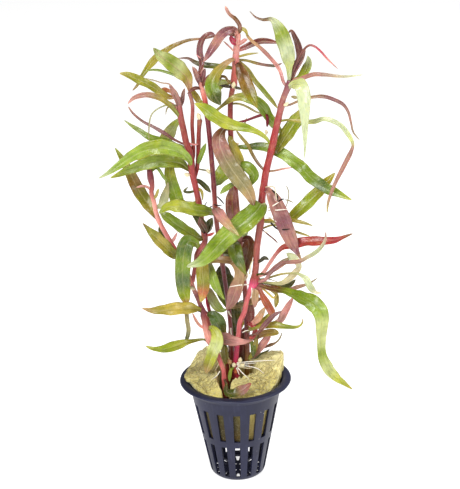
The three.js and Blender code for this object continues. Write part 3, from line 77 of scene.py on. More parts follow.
# Growth: the plant was measured by sighting from EYE. A row is [x, z, y, width]: x and z are where the
# point is seen against the upright plane through the pot's axis, y is how far behind that plane it
# lies, and a value left out is that of the row before. Leaves reach further to the front and back of
# their stems than that, LEAF_REACH times as far. A look names colours from the base to the tip, and
# after a bar the midrib's.
EYE = np.array([0.0, -631.3, 353.5])
LEAF_REACH = 1.35

STEM_RIGHT = Stem(
    name="stem_right",
    tints=[(57, "crimson"), (60, "magenta"), (69, "magenta"), (72, "rosy"), (98, "rosy"), (101.5, "pink"),
        (106, "rosewood"), (140, "rosewood"), (148, "red"), (178, "red"), (185, "brick"), (194, "mauve"),
        (200, "plum")],
    routes=[
        [[1.5, 35.3, -2.5, 2.6], [0.4, 57, -3, 3.4], [0.5, 60, -3, 2.8], [0.8, 64, -3, 2.6],
        [1.3, 68, -3.2, 2.4], [2.2, 74.4, -3.5, 2.5], [3, 80.2, -3.8, 2.6], [5.2, 85.7, -4.2, 2.5],
        [6.5, 91.2, -4.5, 2.4], [8.5, 97, -5, 2.8], [10.7, 101.5, -5.2, 5], [11, 106, -5.2, 3.2],
        [11.5, 110, -5.3], [12, 118, -5.5], [13, 125, -5.7, 3.3], [14, 131, -5.8, 3.4], [15, 144, -6],
        [16, 150], [17, 156], [18.5, 162, -6, 3.2], [20, 168], [21.5, 175], [23, 181, -6, 3], [24.5, 187],
        [25.5, 191, -6, 2.8], [27.5, 196], [29, 200, -6, 2.6]],
    ],
    sprigs=[
        ("blush tan mauve", [[11.2, 99.8, -5.2, 1.4], [11, 97, -6.5, 2.8], [10.6, 92.5, -7, 3.6],
        [10.4, 87.5, -7, 0.5]]),
        ("yellow", [[12.5, 100, -5.2, 0.8], [15, 97, -6, 0.9], [17.5, 94.5, -6.5, 1], [19.5, 92.6],
        [21.5, 94.5, -6.5, 0.4]]),
        ("olive", [[12.5, 100.5, -4, 0.8], [17, 97.5, -3.5, 1.2], [20.8, 94.5, -3.5, 1.8],
        [21, 91, -4, 2.4], [20.3, 87.3, -4.5, 0.6]]),
        ("pale cream mint", [[12.8, 101.5, -5.2, 1], [18, 100.5, -7], [23, 100, -9, 2], [27, 102, -10, 3],
        [30, 105, -11, 3.2], [32, 108, -12, 2.6], [31.3, 110.5, -12, 3], [29, 113, -12, 3.8],
        [26, 115.7, -12, 1]]),
        ("dark", [[12.5, 101, -5, 0.8], [18, 99.7, -5.5, 1], [23, 99, -6, 2], [27, 98.7, -6.5, 2.8],
        [30.5, 102, -7, 0.6]]),
        ("plum mauve grey", [[12.6, 103, -5.2, 1], [17, 105.5, -4, 1.4], [21, 108, -3, 2.8],
        [24.5, 110.6, -2.5, 3], [28, 113.4, -2, 0.6]]),
        ("rose grey", [[12.5, 100, -4, 0.8], [22, 97.5, -3, 1], [28, 97, -3, 1.4], [31, 97.7, -3, 2],
        [36, 99.2, -3, 1.2], [38.5, 100.6, -3, 0.8], [41, 102.3, -3, 0.3]]),
        ("black", [[11.4, 111, -5.4, 0.8], [13.7, 112, -7.2, 1.6], [15.5, 113.3, -7.6, 2],
        [17.8, 112.4, -7.8, 0.4]]),
        ("yellow olive", [[14.2, 133, -5.8, 0.9], [21, 132.7, -8, 1.4], [26, 132.5, -9, 1.8],
        [30, 131.8, -10, 1.9], [34, 130.8, -11, 1.6], [39, 129, -12, 0.4]]),
        ("olive", [[13.4, 128, -5.8, 0.8], [20, 130, -6, 1], [26, 128.5, -7, 1.2], [30, 126.5, -8, 1.3],
        [34, 125, -9, 1.1], [37.5, 123.8, -9, 0.4]]),
        ("bronze rose", [[17.3, 156.5, -6, 0.7], [21, 156.9, -7, 0.9], [25, 157.7, -8],
        [29.8, 158.3, -8, 0.3]]),
        ("umber olive", [[17, 156, -6, 1], [13.3, 161, -4, 1.4], [11, 165, -2.5, 1.6], [9, 169.5, -2],
        [6, 173.5, -2, 1.5], [3.3, 177.5, -2, 0.4]]),
        ("rose mauve mint", [[29.2, 200, -6, 1], [33.5, 200.2, -8, 2], [36, 201.3, -9], [40, 202.3, -10],
        [44, 202.2, -11, 1.8], [50, 201.3, -12, 1.4], [56, 201, -13, 1], [62.5, 201.7, -14, 0.3]]),
        ("olive moss mint", [[29.2, 200, -6, 0.9], [32, 200.8, -5, 1.6], [34.5, 202.3, -4, 3.4],
        [36.6, 205.5, -3, 4.2], [37.5, 208.5, -3, 3], [37, 211.5, -3, 0.4]]),
        ("mauve plum mauve", [[29, 200.5, -6, 1.5], [29.7, 203.5, -6.5, 4.2], [32, 207, -7, 3.8],
        [34.5, 210.3, -7, 2.2], [36.2, 214.5, -7, 0.4]]),
        ("plum maroon", [[29.2, 201, -5.5, 0.8], [30.5, 204.5, -3.5, 1.6], [33.3, 210, -3, 3],
        [33, 215, -3, 3.2], [31.5, 219.5, -3, 2.4], [29.7, 222.8, -3, 1.4], [28.4, 222, -3, 0.4]]),
        ("plum wine magenta rose", [[29, 201, -6.5, 0.7], [31.5, 206.5, -8.3, 0.8], [34.5, 213, -9, 0.9],
        [38, 216, -9.5, 1], [40.5, 215.2, -10], [43, 213, -10.5], [46, 209.5, -11, 0.9],
        [51, 204.5, -11.5, 0.3]]),
        ("green", [[0.4, 56, -3, 0.8], [-2, 55, -5, 1.5], [-2.8, 51.5, -7, 1.8], [-3.2, 48.5, -9, 0.5]]),
    ],
    leaves=[
        ("leaf_low_rust", "mauve rust rust orange | rose", [[11, 99.2, -5.2, 1.6], [12.8, 97.2, -8, 2],
        [13.9, 94.5, -8, 2.6], [16, 90, -9, 3.8], [18.2, 85.6, -10], [19.6, 82.5, -10.5, 0.8]]),
        # Painted highlight: the pale stretch in the middle of this look is the light caught where the leaf
        # bends
        ("leaf_right_arching", "plum umber green green bright pale pale moss pale lime olive | lime", [
        [12.5, 100.5, -5.2, 1.8], [15.1, 98.5, -8, 2], [21.2, 96.9, -12, 3.2], [25.2, 96, -15],
        [29.1, 94.4, -18, 4.4], [33.2, 92.2, -21, 6], [37.2, 89.9, -23, 7.5], [40.9, 86.4, -25, 8],
        [42.8, 81.6, -26, 7], [42.9, 77.4, -26, 6], [42.7, 73.9, -26, 5.3], [42.6, 69.2, -25, 4.4],
        [42.6, 64.8, -24, 4.2], [43.2, 60.2, -23, 4.8], [44.8, 55.9, -22, 5.6], [47.5, 51.5, -21, 5],
        [50.9, 48, -20, 3.6], [54.6, 45, -19, 2], [58, 42.2, -18, 0.5]]),
        ("leaf_right_pale_curl", "dark olive mint mint cream", [[12.5, 102.8, -5.2, 0.8],
        [16, 102.7, -6.8, 0.9], [20, 103.9, -9, 1], [25.2, 105, -12], [31.3, 104.7, -15, 1.2],
        [34, 103.2, -16.5, 2.2], [35.7, 101.3, -17.5, 3.2], [36.8, 98.8, -18, 3.3], [38.2, 96.4, -18.5, 3],
        [40, 94.8, -19, 1.6], [43.2, 94.3, -19.5, 0.4]]),
        ("leaf_right_crimson", "salmon rose red crimson red crimson bronze | rose", [[12.2, 104, -5.2, 1.5],
        [15, 106, -7.2, 1.8], [18, 110.5, -8], [21, 115, -9], [24, 118.2, -10, 2.2], [27, 119.2, -11, 3.4],
        [31, 120.2, -12, 4.5], [36, 121, -13, 4.6], [41, 121, -14, 4.4], [46, 121, -15, 3.8],
        [50, 121.5, -16, 2.8], [54, 123, -17, 1.6], [58, 124.6, -18, 0.4]]),
        ("leaf_right_upcurved", "rose plum mauve mint mauve", [[12.8, 101.8, -5.2, 1.2],
        [15.5, 102, -9, 1.6], [18, 105, -10.5], [21, 108, -12], [24, 110.3, -14, 1.7],
        [27.5, 110.8, -17, 1.8], [32.5, 111.1, -19, 1.9], [36, 113, -20, 2], [40, 115.3, -20.5],
        [43, 118.3, -21, 1.8], [44.7, 122, -22, 1.3], [45, 126, -22, 0.4]]),
        ("leaf_right_rising_olive", "khaki olive khaki moss khaki olive", [[14.3, 132, -5.8, 1],
        [20, 131.5, -4, 1.5], [25, 132, -3, 3], [28.5, 133.3, -2, 4.2], [32, 136.2, -1, 5.4],
        [37, 141, 0, 5.9], [42, 146.2, 1, 5.4], [46, 151, 2, 3.8], [49.5, 155.2, 3, 0.6]]),
        # Painted highlight: the mint at this leaf's base is a painted highlight; the mint at its tip is its
        # own pale colour
        ("leaf_front_bright_green", "mint green green bright green bright mint", [[14.8, 141.5, -6, 1.5],
        [14.4, 140.4, -9, 6], [12.2, 137.2, -11, 9.2], [6, 131.5, -12, 10], [1, 127.5, -12.5, 9.5],
        [-5, 122, -14, 9], [-10, 116.5, -16, 8], [-15, 112.3, -18, 5], [-22, 110, -20, 1.2]]),
        ("leaf_right_pink_hanging", "plum mauve mauve plum mauve plum tan | umber", [[15.6, 148, -6, 1.4],
        [18, 147.3, -9, 3], [20.8, 142, -12, 6.4], [23.5, 135, -13, 7.8], [26, 128, -14, 7.6],
        [29, 120.3, -14.5, 5.6], [31.2, 115.8, -15, 2.4], [33.2, 111.8, -15, 0.5]]),
        ("leaf_right_upright_green", "umber khaki moss olive", [[19.8, 166, -6, 1.2], [22, 166.2, -4, 2],
        [24.5, 170, -3, 4.5], [28, 175.5, -2.5, 6.4], [31, 180, -2], [33.3, 183.6, -2, 4.5],
        [35.5, 187.5, -2, 0.6]]),
        ("leaf_upper_yellow_green", "moss lime moss lime moss lime", [[20.2, 170, -6, 1],
        [17.5, 172.8, -7, 1.6], [14, 175.5, -7.5, 2.4], [9, 177.7, -8, 3.4], [4, 178.9, -8.5, 4.6],
        [-2, 181, -9, 5.6], [-7, 184.6, -9.5, 6], [-11, 188, -10, 4.6], [-15.3, 190.5, -10.5, 0.5]]),
        ("leaf_right_hooked", "khaki olive pale mint mint pale mauve mauve mauve mauve olive", [
        [23.2, 181.4, -6, 1], [28, 181.3, -8, 1.1], [33, 180.6, -9, 1.6], [37, 180, -10, 2],
        [40, 180.1, -11, 2.2], [44, 181.2, -12], [48, 180.3, -13], [52, 178, -14], [55, 174.3, -14.5],
        [57, 171, -15, 1.8], [57.8, 168.3, -15, 1.4], [57.2, 165.8, -15, 1.8], [56, 163, -15, 2.2],
        [54, 159], [52, 155, -15, 2], [50, 151, -15, 1.8], [48.3, 147, -15, 1.6], [46.2, 140.5, -15, 1.2],
        [45.6, 135, -15, 0.4]]),
        ("leaf_right_brown_arch", "plum tan plum mauve grey", [[24.8, 188, -6, 1], [28.5, 188.4, -4],
        [32.5, 190, -3, 1.2], [38, 191.5, -2, 1.5], [43, 192, -1, 1.7], [48, 190.7, 0, 1.8],
        [53, 188, 1, 1.6], [55.5, 184.5, 1.5, 1.3], [56.8, 179.5, 2, 1], [58, 174.5, 2, 0.8],
        [61, 170.5, 2, 0.3]]),
        ("leaf_right_pale_hanging", "mint pale mint mint mint mint", [[27.8, 197, -6, 1.2],
        [30, 198, -9, 3], [33.5, 197.3, -13, 6.3], [35, 193, -15, 6.4], [35.3, 186, -17, 5.2],
        [35.5, 178, -18, 3], [35.5, 170, -18, 1.5], [35.2, 162.5, -18, 0.4]]),
        ("leaf_crown_pink", "mauve rose mauve tan olive | rose", [[27.6, 197, -6, 1.2],
        [25.8, 199.5, -4, 1.5], [24.2, 205, -2, 1.7], [21, 209.5, -1, 1.8], [18, 213, -0.5],
        [15, 216, 0, 1.6], [12, 218.6, 0, 1.4], [10, 221, 0, 1.2], [9, 224.3, 0, 0.4]]),
        ("leaf_top_right_pale", "mint pale mint moss mint umber maroon maroon", [[28.8, 200.5, -6, 1.4],
        [28.6, 206, -9, 3], [28, 212, -11, 6.5], [26, 219, -12, 7], [23.6, 225, -12, 5],
        [20.8, 228.2, -12, 2.2], [17, 228.3, -12, 1.2], [14, 229.4, -12, 0.8], [11, 232.5, -12, 0.3]]),
        ("leaf_back_middle_broad", "dark green moss", [[14.6, 137, -6, 1.2], [12, 135.5, 2, 4],
        [8, 132, 10, 7.5], [4, 127, 17, 8], [0, 121.5, 23, 6], [-4, 117, 27, 0.6]]),
        ("leaf_back_right_small", "green moss lime", [[20.6, 172, -6, 1], [24, 171.5, 4, 4],
        [27.5, 174.5, 10, 6], [30.5, 179, 15, 5.5], [33, 183, 19, 0.6]]),
    ],
)
STEM_TALL = Stem(
    name="stem_tall",
    tints=[(58, "bronze"), (75, "maroon"), (100, "rosewood"), (125, "mauve"), (150, "redbrown"),
        (172, "red"), (190, "redbrown"), (197, "brick"), (205, "coral"), (214, "rose"), (222, "salmon")],
    routes=[
        [[5.5, 37.2, 1.5, 2.6], [6, 60], [6.3, 75], [6.2, 90], [5.3, 105, 2], [4.4, 120],
        [3.4, 135, 2.5, 2.5], [2.4, 150], [1.6, 162], [1.2, 170], [1, 178], [1.1, 185], [1.5, 191.5],
        [2.3, 196], [3, 198.5, 2.5, 3.4], [3.4, 203, 2.5, 3], [4, 207], [4.5, 213], [5, 217.5],
        [5.6, 222.5, 2.5, 2.4]],
    ],
    sprigs=[
        ("mauve umber mauve salmon", [[5.8, 222.5, 2.5, 1.4], [6.6, 225.5, 2, 1.9], [4.6, 229, 2],
        [2.6, 230.6, 2, 1.5], [1.6, 231.8, 2, 1.5], [0.8, 233.5, 2, 1.4], [0.2, 235.2, 2, 0.4]]),
        ("olive", [[5.6, 221.5, 2.5, 1], [7.5, 224.3, 2, 1.8], [9, 223.5, 1.5, 1.6], [10, 221, 1.5, 0.4]]),
        ("magenta", [[5, 217.8, 2.5, 1], [3.4, 218.6, 0.5, 2.6], [2.6, 220.4, 0.3, 2.2],
        [2.8, 221.6, 0.5, 0.5]]),
        ("rose", [[4.5, 213, 2.5, 0.7], [2.5, 215.5, 1, 0.8], [0.5, 217.5, 0], [-1.2, 219.2, 0, 0.3]]),
        ("rose", [[5.2, 217, 2.5, 0.8], [7, 218, 1, 1.8], [8.6, 219, 0.5], [10, 219.6, 0, 0.5]]),
        ("rosy wine maroon wine", [[4.6, 214, 2.5, 1.2], [8, 215.5, 5, 2.4], [12, 217.3, 7, 2.8],
        [16, 218.4, 8], [20, 218.3, 8, 2.2], [24.5, 217.2, 8, 0.5]]),
        ("black olive maroon black plum", [[4.3, 210, 2.5, 1], [9, 209.8, 5, 1.2], [14, 208.3, 7, 1.3],
        [19, 207.2, 9], [22.5, 207, 10, 1.2], [25.5, 208.2, 11, 0.4]]),
        ("olive", [[4.5, 211.3, 2.5, 0.8], [9, 212.5, 1, 1.1], [15.3, 213.2, 0, 0.3]]),
        ("moss dark plum", [[3.9, 206.3, 2.5, 1], [0, 206.8, 5, 2], [-5, 207.5, 7, 2.6], [-10, 208.1, 8],
        [-14, 209.5, 9, 2], [-17.3, 211.5, 9, 1.2], [-22, 211.8, 9, 0.3]]),
        ("bronze", [[3, 199, 2.5, 0.8], [0.8, 200, 0, 1], [-0.8, 202.4, -0.5, 1.2], [-2.6, 202.6],
        [-3.2, 200.3, -0.5, 0.3]]),
        ("black", [[2.6, 197.5, 2.5, 0.8], [-0.5, 198.1, 0, 1.5], [-3.4, 198.5, -1, 0.4]]),
        ("black", [[3, 197.5, 2.5, 0.8], [5, 197, 0, 1.3], [7, 196.3, -1, 0.4]]),
        ("umber olive moss olive", [[4.2, 210, 2.5, 1], [6.5, 208.7, 4, 1.4], [9.5, 205.5, 5, 2],
        [13, 200, 6, 2.2], [17, 195, 6.5], [20.5, 190.5, 7, 1.8], [23.2, 186.7, 7, 0.4]]),
        ("olive grey", [[1.4, 189.8, 2.5, 0.8], [4, 189.8, 1, 0.9], [7, 189, 1, 1], [10, 187.5],
        [13, 185.6, 1, 0.9], [16.3, 184.4, 1, 0.3]]),
        ("olive", [[1.1, 177, 2.5, 0.7], [5.5, 178, 1, 0.8], [7.5, 180], [8.8, 183.2, 1, 0.3]]),
        ("olive", [[1.1, 175, 2.5, 1], [0.8, 172.5, -0.5, 2.6], [2.8, 168, -1, 4], [4.6, 163.5, -1.5],
        [6.2, 159.5, -2, 2], [7, 157, -2, 0.5]]),
        ("green", [[2, 160, 2.5, 0.8], [5, 160.3, -2, 3], [8.5, 158.9, -3.5, 5], [11.3, 155.3, -4],
        [10.6, 151.8, -4, 2.5], [9.3, 149.6, -4, 0.5]]),
        ("green bright", [[2.2, 150.5, 2.5, 0.8], [0.3, 150.3, -3, 2.2], [-1.8, 148.8, -4.2, 2.8],
        [-4.9, 146.2, -5, 0.4]]),
        ("mauve maroon mauve | olive", [[3.2, 132, 2.5, 1], [1, 134.5, -0.5, 4.5], [0.8, 139, -1, 6.4],
        [0.9, 144, -1.2, 6.2], [1, 148.5, -1.2, 2.6], [1, 150.5, -1.5, 0.5]]),
        ("maroon umber maroon", [[4.6, 122.5, 2, 0.9], [7.8, 123, 0.5, 4], [8.2, 119, -0.5, 6.2],
        [6.8, 113.5, -1], [5.8, 108, -1.2, 4], [5.4, 103.5, -1.2, 0.5]]),
        ("wine maroon", [[6.3, 92, 1.5, 1], [7.8, 90, -0.5, 2.4], [8.6, 86, -1, 3.4], [8.5, 82, -1.5, 2.8],
        [8, 79, -1.5, 0.5]]),
        ("salmon tan", [[6.4, 78.5, 1.5, 1], [9.5, 79.8, -3, 2.2], [12, 82, -6, 3.4], [14, 85.3, -7.5, 2.8],
        [15.4, 88, -8, 0.6]]),
        ("olive lime", [[6.4, 76.5, 1.5, 1], [10, 78.3, -2, 1.6], [14, 80.5, -4.5, 2.4], [16.6, 83, -6, 2],
        [18.8, 85.7, -7, 0.6]]),
        ("maroon plum", [[6.5, 72.5, 1.5, 1], [9.5, 73.5, -6, 1.2], [11.7, 74.5, -9, 1.4],
        [13.5, 76.5, -10.5, 2.2], [15.5, 79, -11.5, 2.5], [18, 81.7, -12, 2.6], [20, 83.6, -12, 2],
        [23.5, 85.6, -12, 0.4]]),
        ("mauve olive", [[6.4, 70, 1.5, 1], [9.5, 71.3, -0.5, 1.8], [12.4, 72.9, -2.5, 3],
        [15.9, 74, -4, 3.5], [19.4, 74.1, -5, 3.4], [22, 73.8, -5.5, 1.4]]),
        ("mauve rose", [[6.2, 60.5, 1.5, 1], [9, 61.3, 0.5, 1.2], [10.6, 63, 0, 1.8],
        [12.2, 65.4, -0.5, 2.8], [14, 68.2, -0.8, 3.7], [16, 71, -1, 3.4], [18, 74, -1, 0.6]]),
        ("dark", [[6.2, 60, 1.5, 0.7], [10.2, 60.8, 2.5, 0.9], [12.8, 63, 3], [16, 64.4, 3.5],
        [17.3, 65.5, 3.5, 0.3]]),
        ("maroon grey", [[6.2, 63, 1.5, 0.8], [11, 65], [16, 67, 1, 1.2], [18, 67.7, 1, 1.8],
        [20, 68.7, 0.5, 0.9], [21.5, 70, 0, 0.8], [22.7, 72, 0, 0.7], [23.4, 74.6, 0, 0.3]]),
        ("green dark", [[6.3, 70, 1.5, 0.8], [8.5, 69, -1.5, 2], [9.2, 65.5, -2.5, 2.8],
        [8.8, 61, -3, 0.6]]),
        ("crimson", [[6.6, 79.5, 1.5, 1], [8, 79.3, -2, 2], [9.8, 77.5, -3.5, 2.6], [10.2, 74.8, -4],
        [9, 72.3, -4, 2], [7, 71.8, -3.5, 0.5]]),
        ("maroon wine black", [[5.8, 78, 1.5, 1], [4.9, 74, 3.5, 4.4], [4.4, 68.5, 4.5, 5.4],
        [4.4, 62, 4.8, 5], [4.7, 56.2, 4.5, 1.6]]),
        ("lime olive bronze", [[7.4, 59.4, 1.5, 0.8], [9, 63.7, -1, 2.2], [10.3, 67.9, -2, 2.6],
        [11.1, 72.2, -2, 1.6], [12.4, 75.3, -2, 0.5]]),
        ("olive moss tan", [[3, 200, 2.5, 1], [0, 199.5, 8, 3], [-3.5, 198.5, 13, 5], [-7, 197, 17],
        [-10, 195, 20, 0.6]]),
    ],
    leaves=[
        ("leaf_low_right_olive", "umber khaki olive moss lime tan", [[6.5, 75, 1.5, 1],
        [7.2, 75.6, -4.5, 1.2], [10.5, 77, -7.5, 1.6], [15, 77.9, -8.8, 2.8], [20, 78.1, -10, 3.4],
        [25, 77.2, -11, 2.4], [29, 76.7, -12.5, 1.7], [32, 77.4, -13.5, 1.1], [33.4, 79.2, -14, 0.9],
        [33.6, 81.5, -14, 0.3]]),
        ("leaf_right_pink_upright", "rose blush rose rose | rose", [[6.4, 80.5, 1.5, 0.9],
        [12, 79.5, 2, 1.2], [18, 79, 1.5, 1.6], [22, 80, 0, 3], [24.5, 84, -1.5, 3.6], [26.8, 88.3, -3, 3],
        [28.2, 91, -4, 1.8], [29.1, 93, -4.5, 0.4]]),
        ("leaf_middle_green", "dark green fern khaki", [[4.3, 121.5, 2, 1], [1.5, 121, -3, 5],
        [1.6, 117, -6, 7], [3, 112.5, -7.5, 5.5], [4.6, 109, -8, 3.5], [6.5, 105, -8.5, 0.6]]),
        ("leaf_right_broad_green", "olive green fern green bright green green fern green lime", [
        [1.3, 168.8, 2.5, 1], [4, 169, 3, 1.5], [8, 168.7, 2.5, 2.5], [13, 169, 2, 3.5], [18, 168, 1, 4.2],
        [24, 165.5, -1, 5], [30, 161, -4, 5.5], [34, 157.5, -7, 5.6], [38, 153, -8], [42, 149.7, -9, 5.4],
        [46, 147, -10, 5], [51, 144.5, -11, 3.4], [57.5, 141.3, -12, 0.5]]),
        ("leaf_middle_brown_grey", "black umber mauve grey grey tan umber | cream", [[0.9, 178, 2.5, 1.2],
        [-2.2, 177.6, -1, 2.6], [-4.4, 173.5, -3, 6.4], [-3.2, 167, -4.5, 7.8], [0.6, 159, -6, 8],
        [5, 152.5, -7, 7.6], [8.4, 147.2, -8, 6], [10, 143.3, -8.5, 4], [11.2, 139.5, -8, 0.6]]),
        # Painted shade: the base of this leaf is coloured as deep shadow
        ("leaf_upper_brown_olive", "black umber bronze khaki olive | bronze", [[4.1, 208.5, 2.5, 1.2],
        [5.6, 207.6, -1, 3], [7, 203.3, -4, 5.4], [9, 198, -6, 6.2], [11, 193, -7.5, 5.4],
        [12.6, 189.7, -8.5, 2.5], [13.6, 187.3, -9, 0.5]]),
        ("leaf_upper_hanging_green", "tan tan olive green dark dark", [[4.2, 211, 2.5, 1.2],
        [1.5, 209.8, -1, 2.2], [-1.5, 207.6, -3, 3.2], [-5, 203.5, -5, 4.8], [-7, 199, -6, 6.4],
        [-6.2, 194.8, -7, 7], [-4.6, 191.5, -7.5, 4], [-3.2, 189.3, -8, 0.6]]),
        ("leaf_crown_purple", "salmon maroon plum mauve plum mauve | rose", [[5.6, 221.5, 2.5, 1.4],
        [4.2, 224, 0, 2.6], [1, 223.6, -2, 4], [-2, 221.5, -3.5, 4.2], [-5, 217.5, -5, 4],
        [-8, 213, -6, 2.8], [-10.6, 209.6, -7, 0.5]]),
        ("leaf_top_arching_thin", "maroon mauve bronze olive khaki bronze", [[5.2, 221.5, 3, 1.5],
        [0, 222.3, 5, 1.2], [-5, 221.5, 6, 1], [-10, 220.5, 7], [-15, 220.2, 8, 1.2], [-20, 219, 8, 1.6],
        [-25, 216.8, 8, 2.2], [-30, 213.5, 7, 3.2], [-33.5, 210.5, 6, 3.5], [-36, 207.5, 5, 2.6],
        [-39, 203.5, 4, 1.8], [-41, 199.8, 3, 1.3], [-43.5, 197.3, 3, 0.4]]),
        ("leaf_back_low", "dark olive mauve | rose", [[6.2, 92, 1.5, 1.2], [5, 90, 8, 5], [3, 85, 14, 8],
        [1, 79, 19, 7], [-1, 73, 22, 4], [-3, 69, 24, 0.6]]),
    ],
)
STEM_CENTER = Stem(
    name="stem_center",
    tints=[(60, "redbrown"), (100, "maroon"), (140, "rosewood"), (150, "wine"), (188, "wine"), (190, "red"),
        (193, "coral"), (197, "salmon"), (203, "rosewood"), (206, "wine"), (214, "maroon")],
    routes=[
        [[-1.5, 38.7, 4.5, 2.2], [-1.5, 60], [-1.6, 75], [-2.5, 90], [-4, 105, 4], [-5.6, 120, 3.5],
        [-7, 135, 3, 2.3], [-7.5, 148, 2.5], [-8, 160, 2, 2.4], [-8.5, 170, 1.5], [-9.2, 180, 1],
        [-9.8, 188], [-10.5, 193], [-11.5, 197], [-12.4, 201, 1, 2.2], [-12.8, 204.5, 1, 2]],
    ],
    sprigs=[
        ("rose", [[-12.6, 202, 1, 0.8], [-14, 205.5], [-15.7, 208, 1, 0.3]]),
        ("rose", [[-12.4, 202, 1, 0.8], [-11.5, 205], [-10.3, 207.5, 1, 0.3]]),
        ("wine plum wine plum", [[-12.5, 204, 1, 1], [-11.2, 209.5, 3, 2.4], [-12, 214, 3, 3],
        [-11.3, 218.5, 3, 2.7], [-9, 221.8, 3, 2], [-6.3, 222.6, 3, 1.6], [-4.4, 221, 3, 0.4]]),
        ("wine", [[-11.6, 197.5, 1, 0.9], [-9.8, 201, -1, 1.6], [-8, 204, -1.5, 0.5]]),
        ("wine", [[-11.6, 197.5, 1, 0.9], [-15, 197.4, -1.5, 1.8], [-18.5, 195, -2.5, 0.5]]),
        ("olive", [[-10.3, 191.5, 1, 0.9], [-12.4, 190.5, 3.5, 2.4], [-14.4, 193.5, 4.5, 3],
        [-16.2, 197, 5, 1.6], [-17.3, 199, 5, 0.4]]),
        ("tan grey mauve", [[-2.4, 88, 4.5, 1], [-0.5, 88.3, 1.2, 1.6], [3, 88.9, 0.2, 1.8],
        [7, 90.2, 0, 2.6], [10, 91.2, -0.4, 3.4], [12.5, 92, -1, 2], [14, 92.5, -1, 0.5]]),
        ("plum mauve", [[-12.2, 198.6, 1, 1.4], [-13.4, 202.4, -0.5, 2.4], [-14.5, 205.7, -1.2, 2.2],
        [-15.6, 207.9, -1.5, 0.4]]),
        ("wine plum", [[-11.9, 198.6, 1, 1.4], [-11, 202.3, 0, 2.4], [-10.2, 205.3, -0.5, 1.8],
        [-9.7, 206.9, -0.6, 0.4]]),
        ("black dark dark", [[-3, 94.2, 4.4, 1], [-0.2, 89.5, 7, 5.6], [0.6, 82.6, 8.5, 7],
        [0.9, 75.7, 8.5, 5.5], [1.3, 69.8, 8, 0.8]]),
        # Painted shade: the next sprig is a dark leaf set in the shadowed gap between the stems
        ("black maroon", [[-1.6, 73.6, 4.5, 0.8], [-1.5, 69.4, 6, 3], [-1.6, 64.5, 6.6, 3.6],
        [-2, 59.7, 6.5, 0.6]]),
        ("black dark", [[-5, 112.1, 3.8, 1], [-6.2, 114.8, 6, 4], [-3.3, 116, 7, 4.4],
        [-0.5, 114.9, 7, 0.6]]),
    ],
    leaves=[
        # Painted shade: this leaf is coloured as the deep shadow it sits in, inside the plant
        ("leaf_middle_dark", "black dark moss", [[-4.6, 111, 4, 1], [-4.6, 108.5, 7, 6.6],
        [-4.5, 103, 9, 10.4], [-3.4, 97, 10, 9.4], [-2, 91, 11, 6], [0, 85, 12, 0.6]]),
        ("leaf_left_yellow_green", "green moss lime moss", [[-7.4, 136.5, 2.8, 1], [-10.5, 137.8, -2, 4],
        [-15, 138.2, -5.5, 5.8], [-20, 139.5, -8, 6.2], [-26, 140.7, -10, 5.8], [-30, 140.3, -11, 4],
        [-34, 137.5, -12, 0.6]]),
        ("leaf_front_salmon", "mauve rose olive | cream", [[-7, 139.5, 2.8, 1], [-7, 138.6, -4, 3.6],
        [-5.2, 136, -10, 5], [-2, 131.2, -15, 4.2], [3.9, 124.8, -18.5, 0.5]]),
        ("leaf_upper_long_olive", "olive olive green green pale", [[-9.5, 184.5, 1, 1],
        [-4, 187.7, -1.5, 1.2], [-1, 190, -2, 1.8], [3, 192.3, -2.5, 3], [8, 192.5, -2.5, 4.4],
        [13, 190.5, -2.8, 5], [16.5, 187, -2.5], [18.8, 183, -1.5, 4.4], [21, 179.7, -0.5, 4],
        [24, 176, 0.5, 2.4], [26.8, 172.7, 1, 0.5]]),
        ("leaf_back_middle_upright", "dark moss green", [[-7.6, 150, 2.5, 1.2], [-6, 152, 8, 5],
        [-3, 156, 14, 7.5], [0, 160, 19, 7], [2.5, 164, 23, 4.5], [5, 168, 26, 0.6]]),
    ],
)
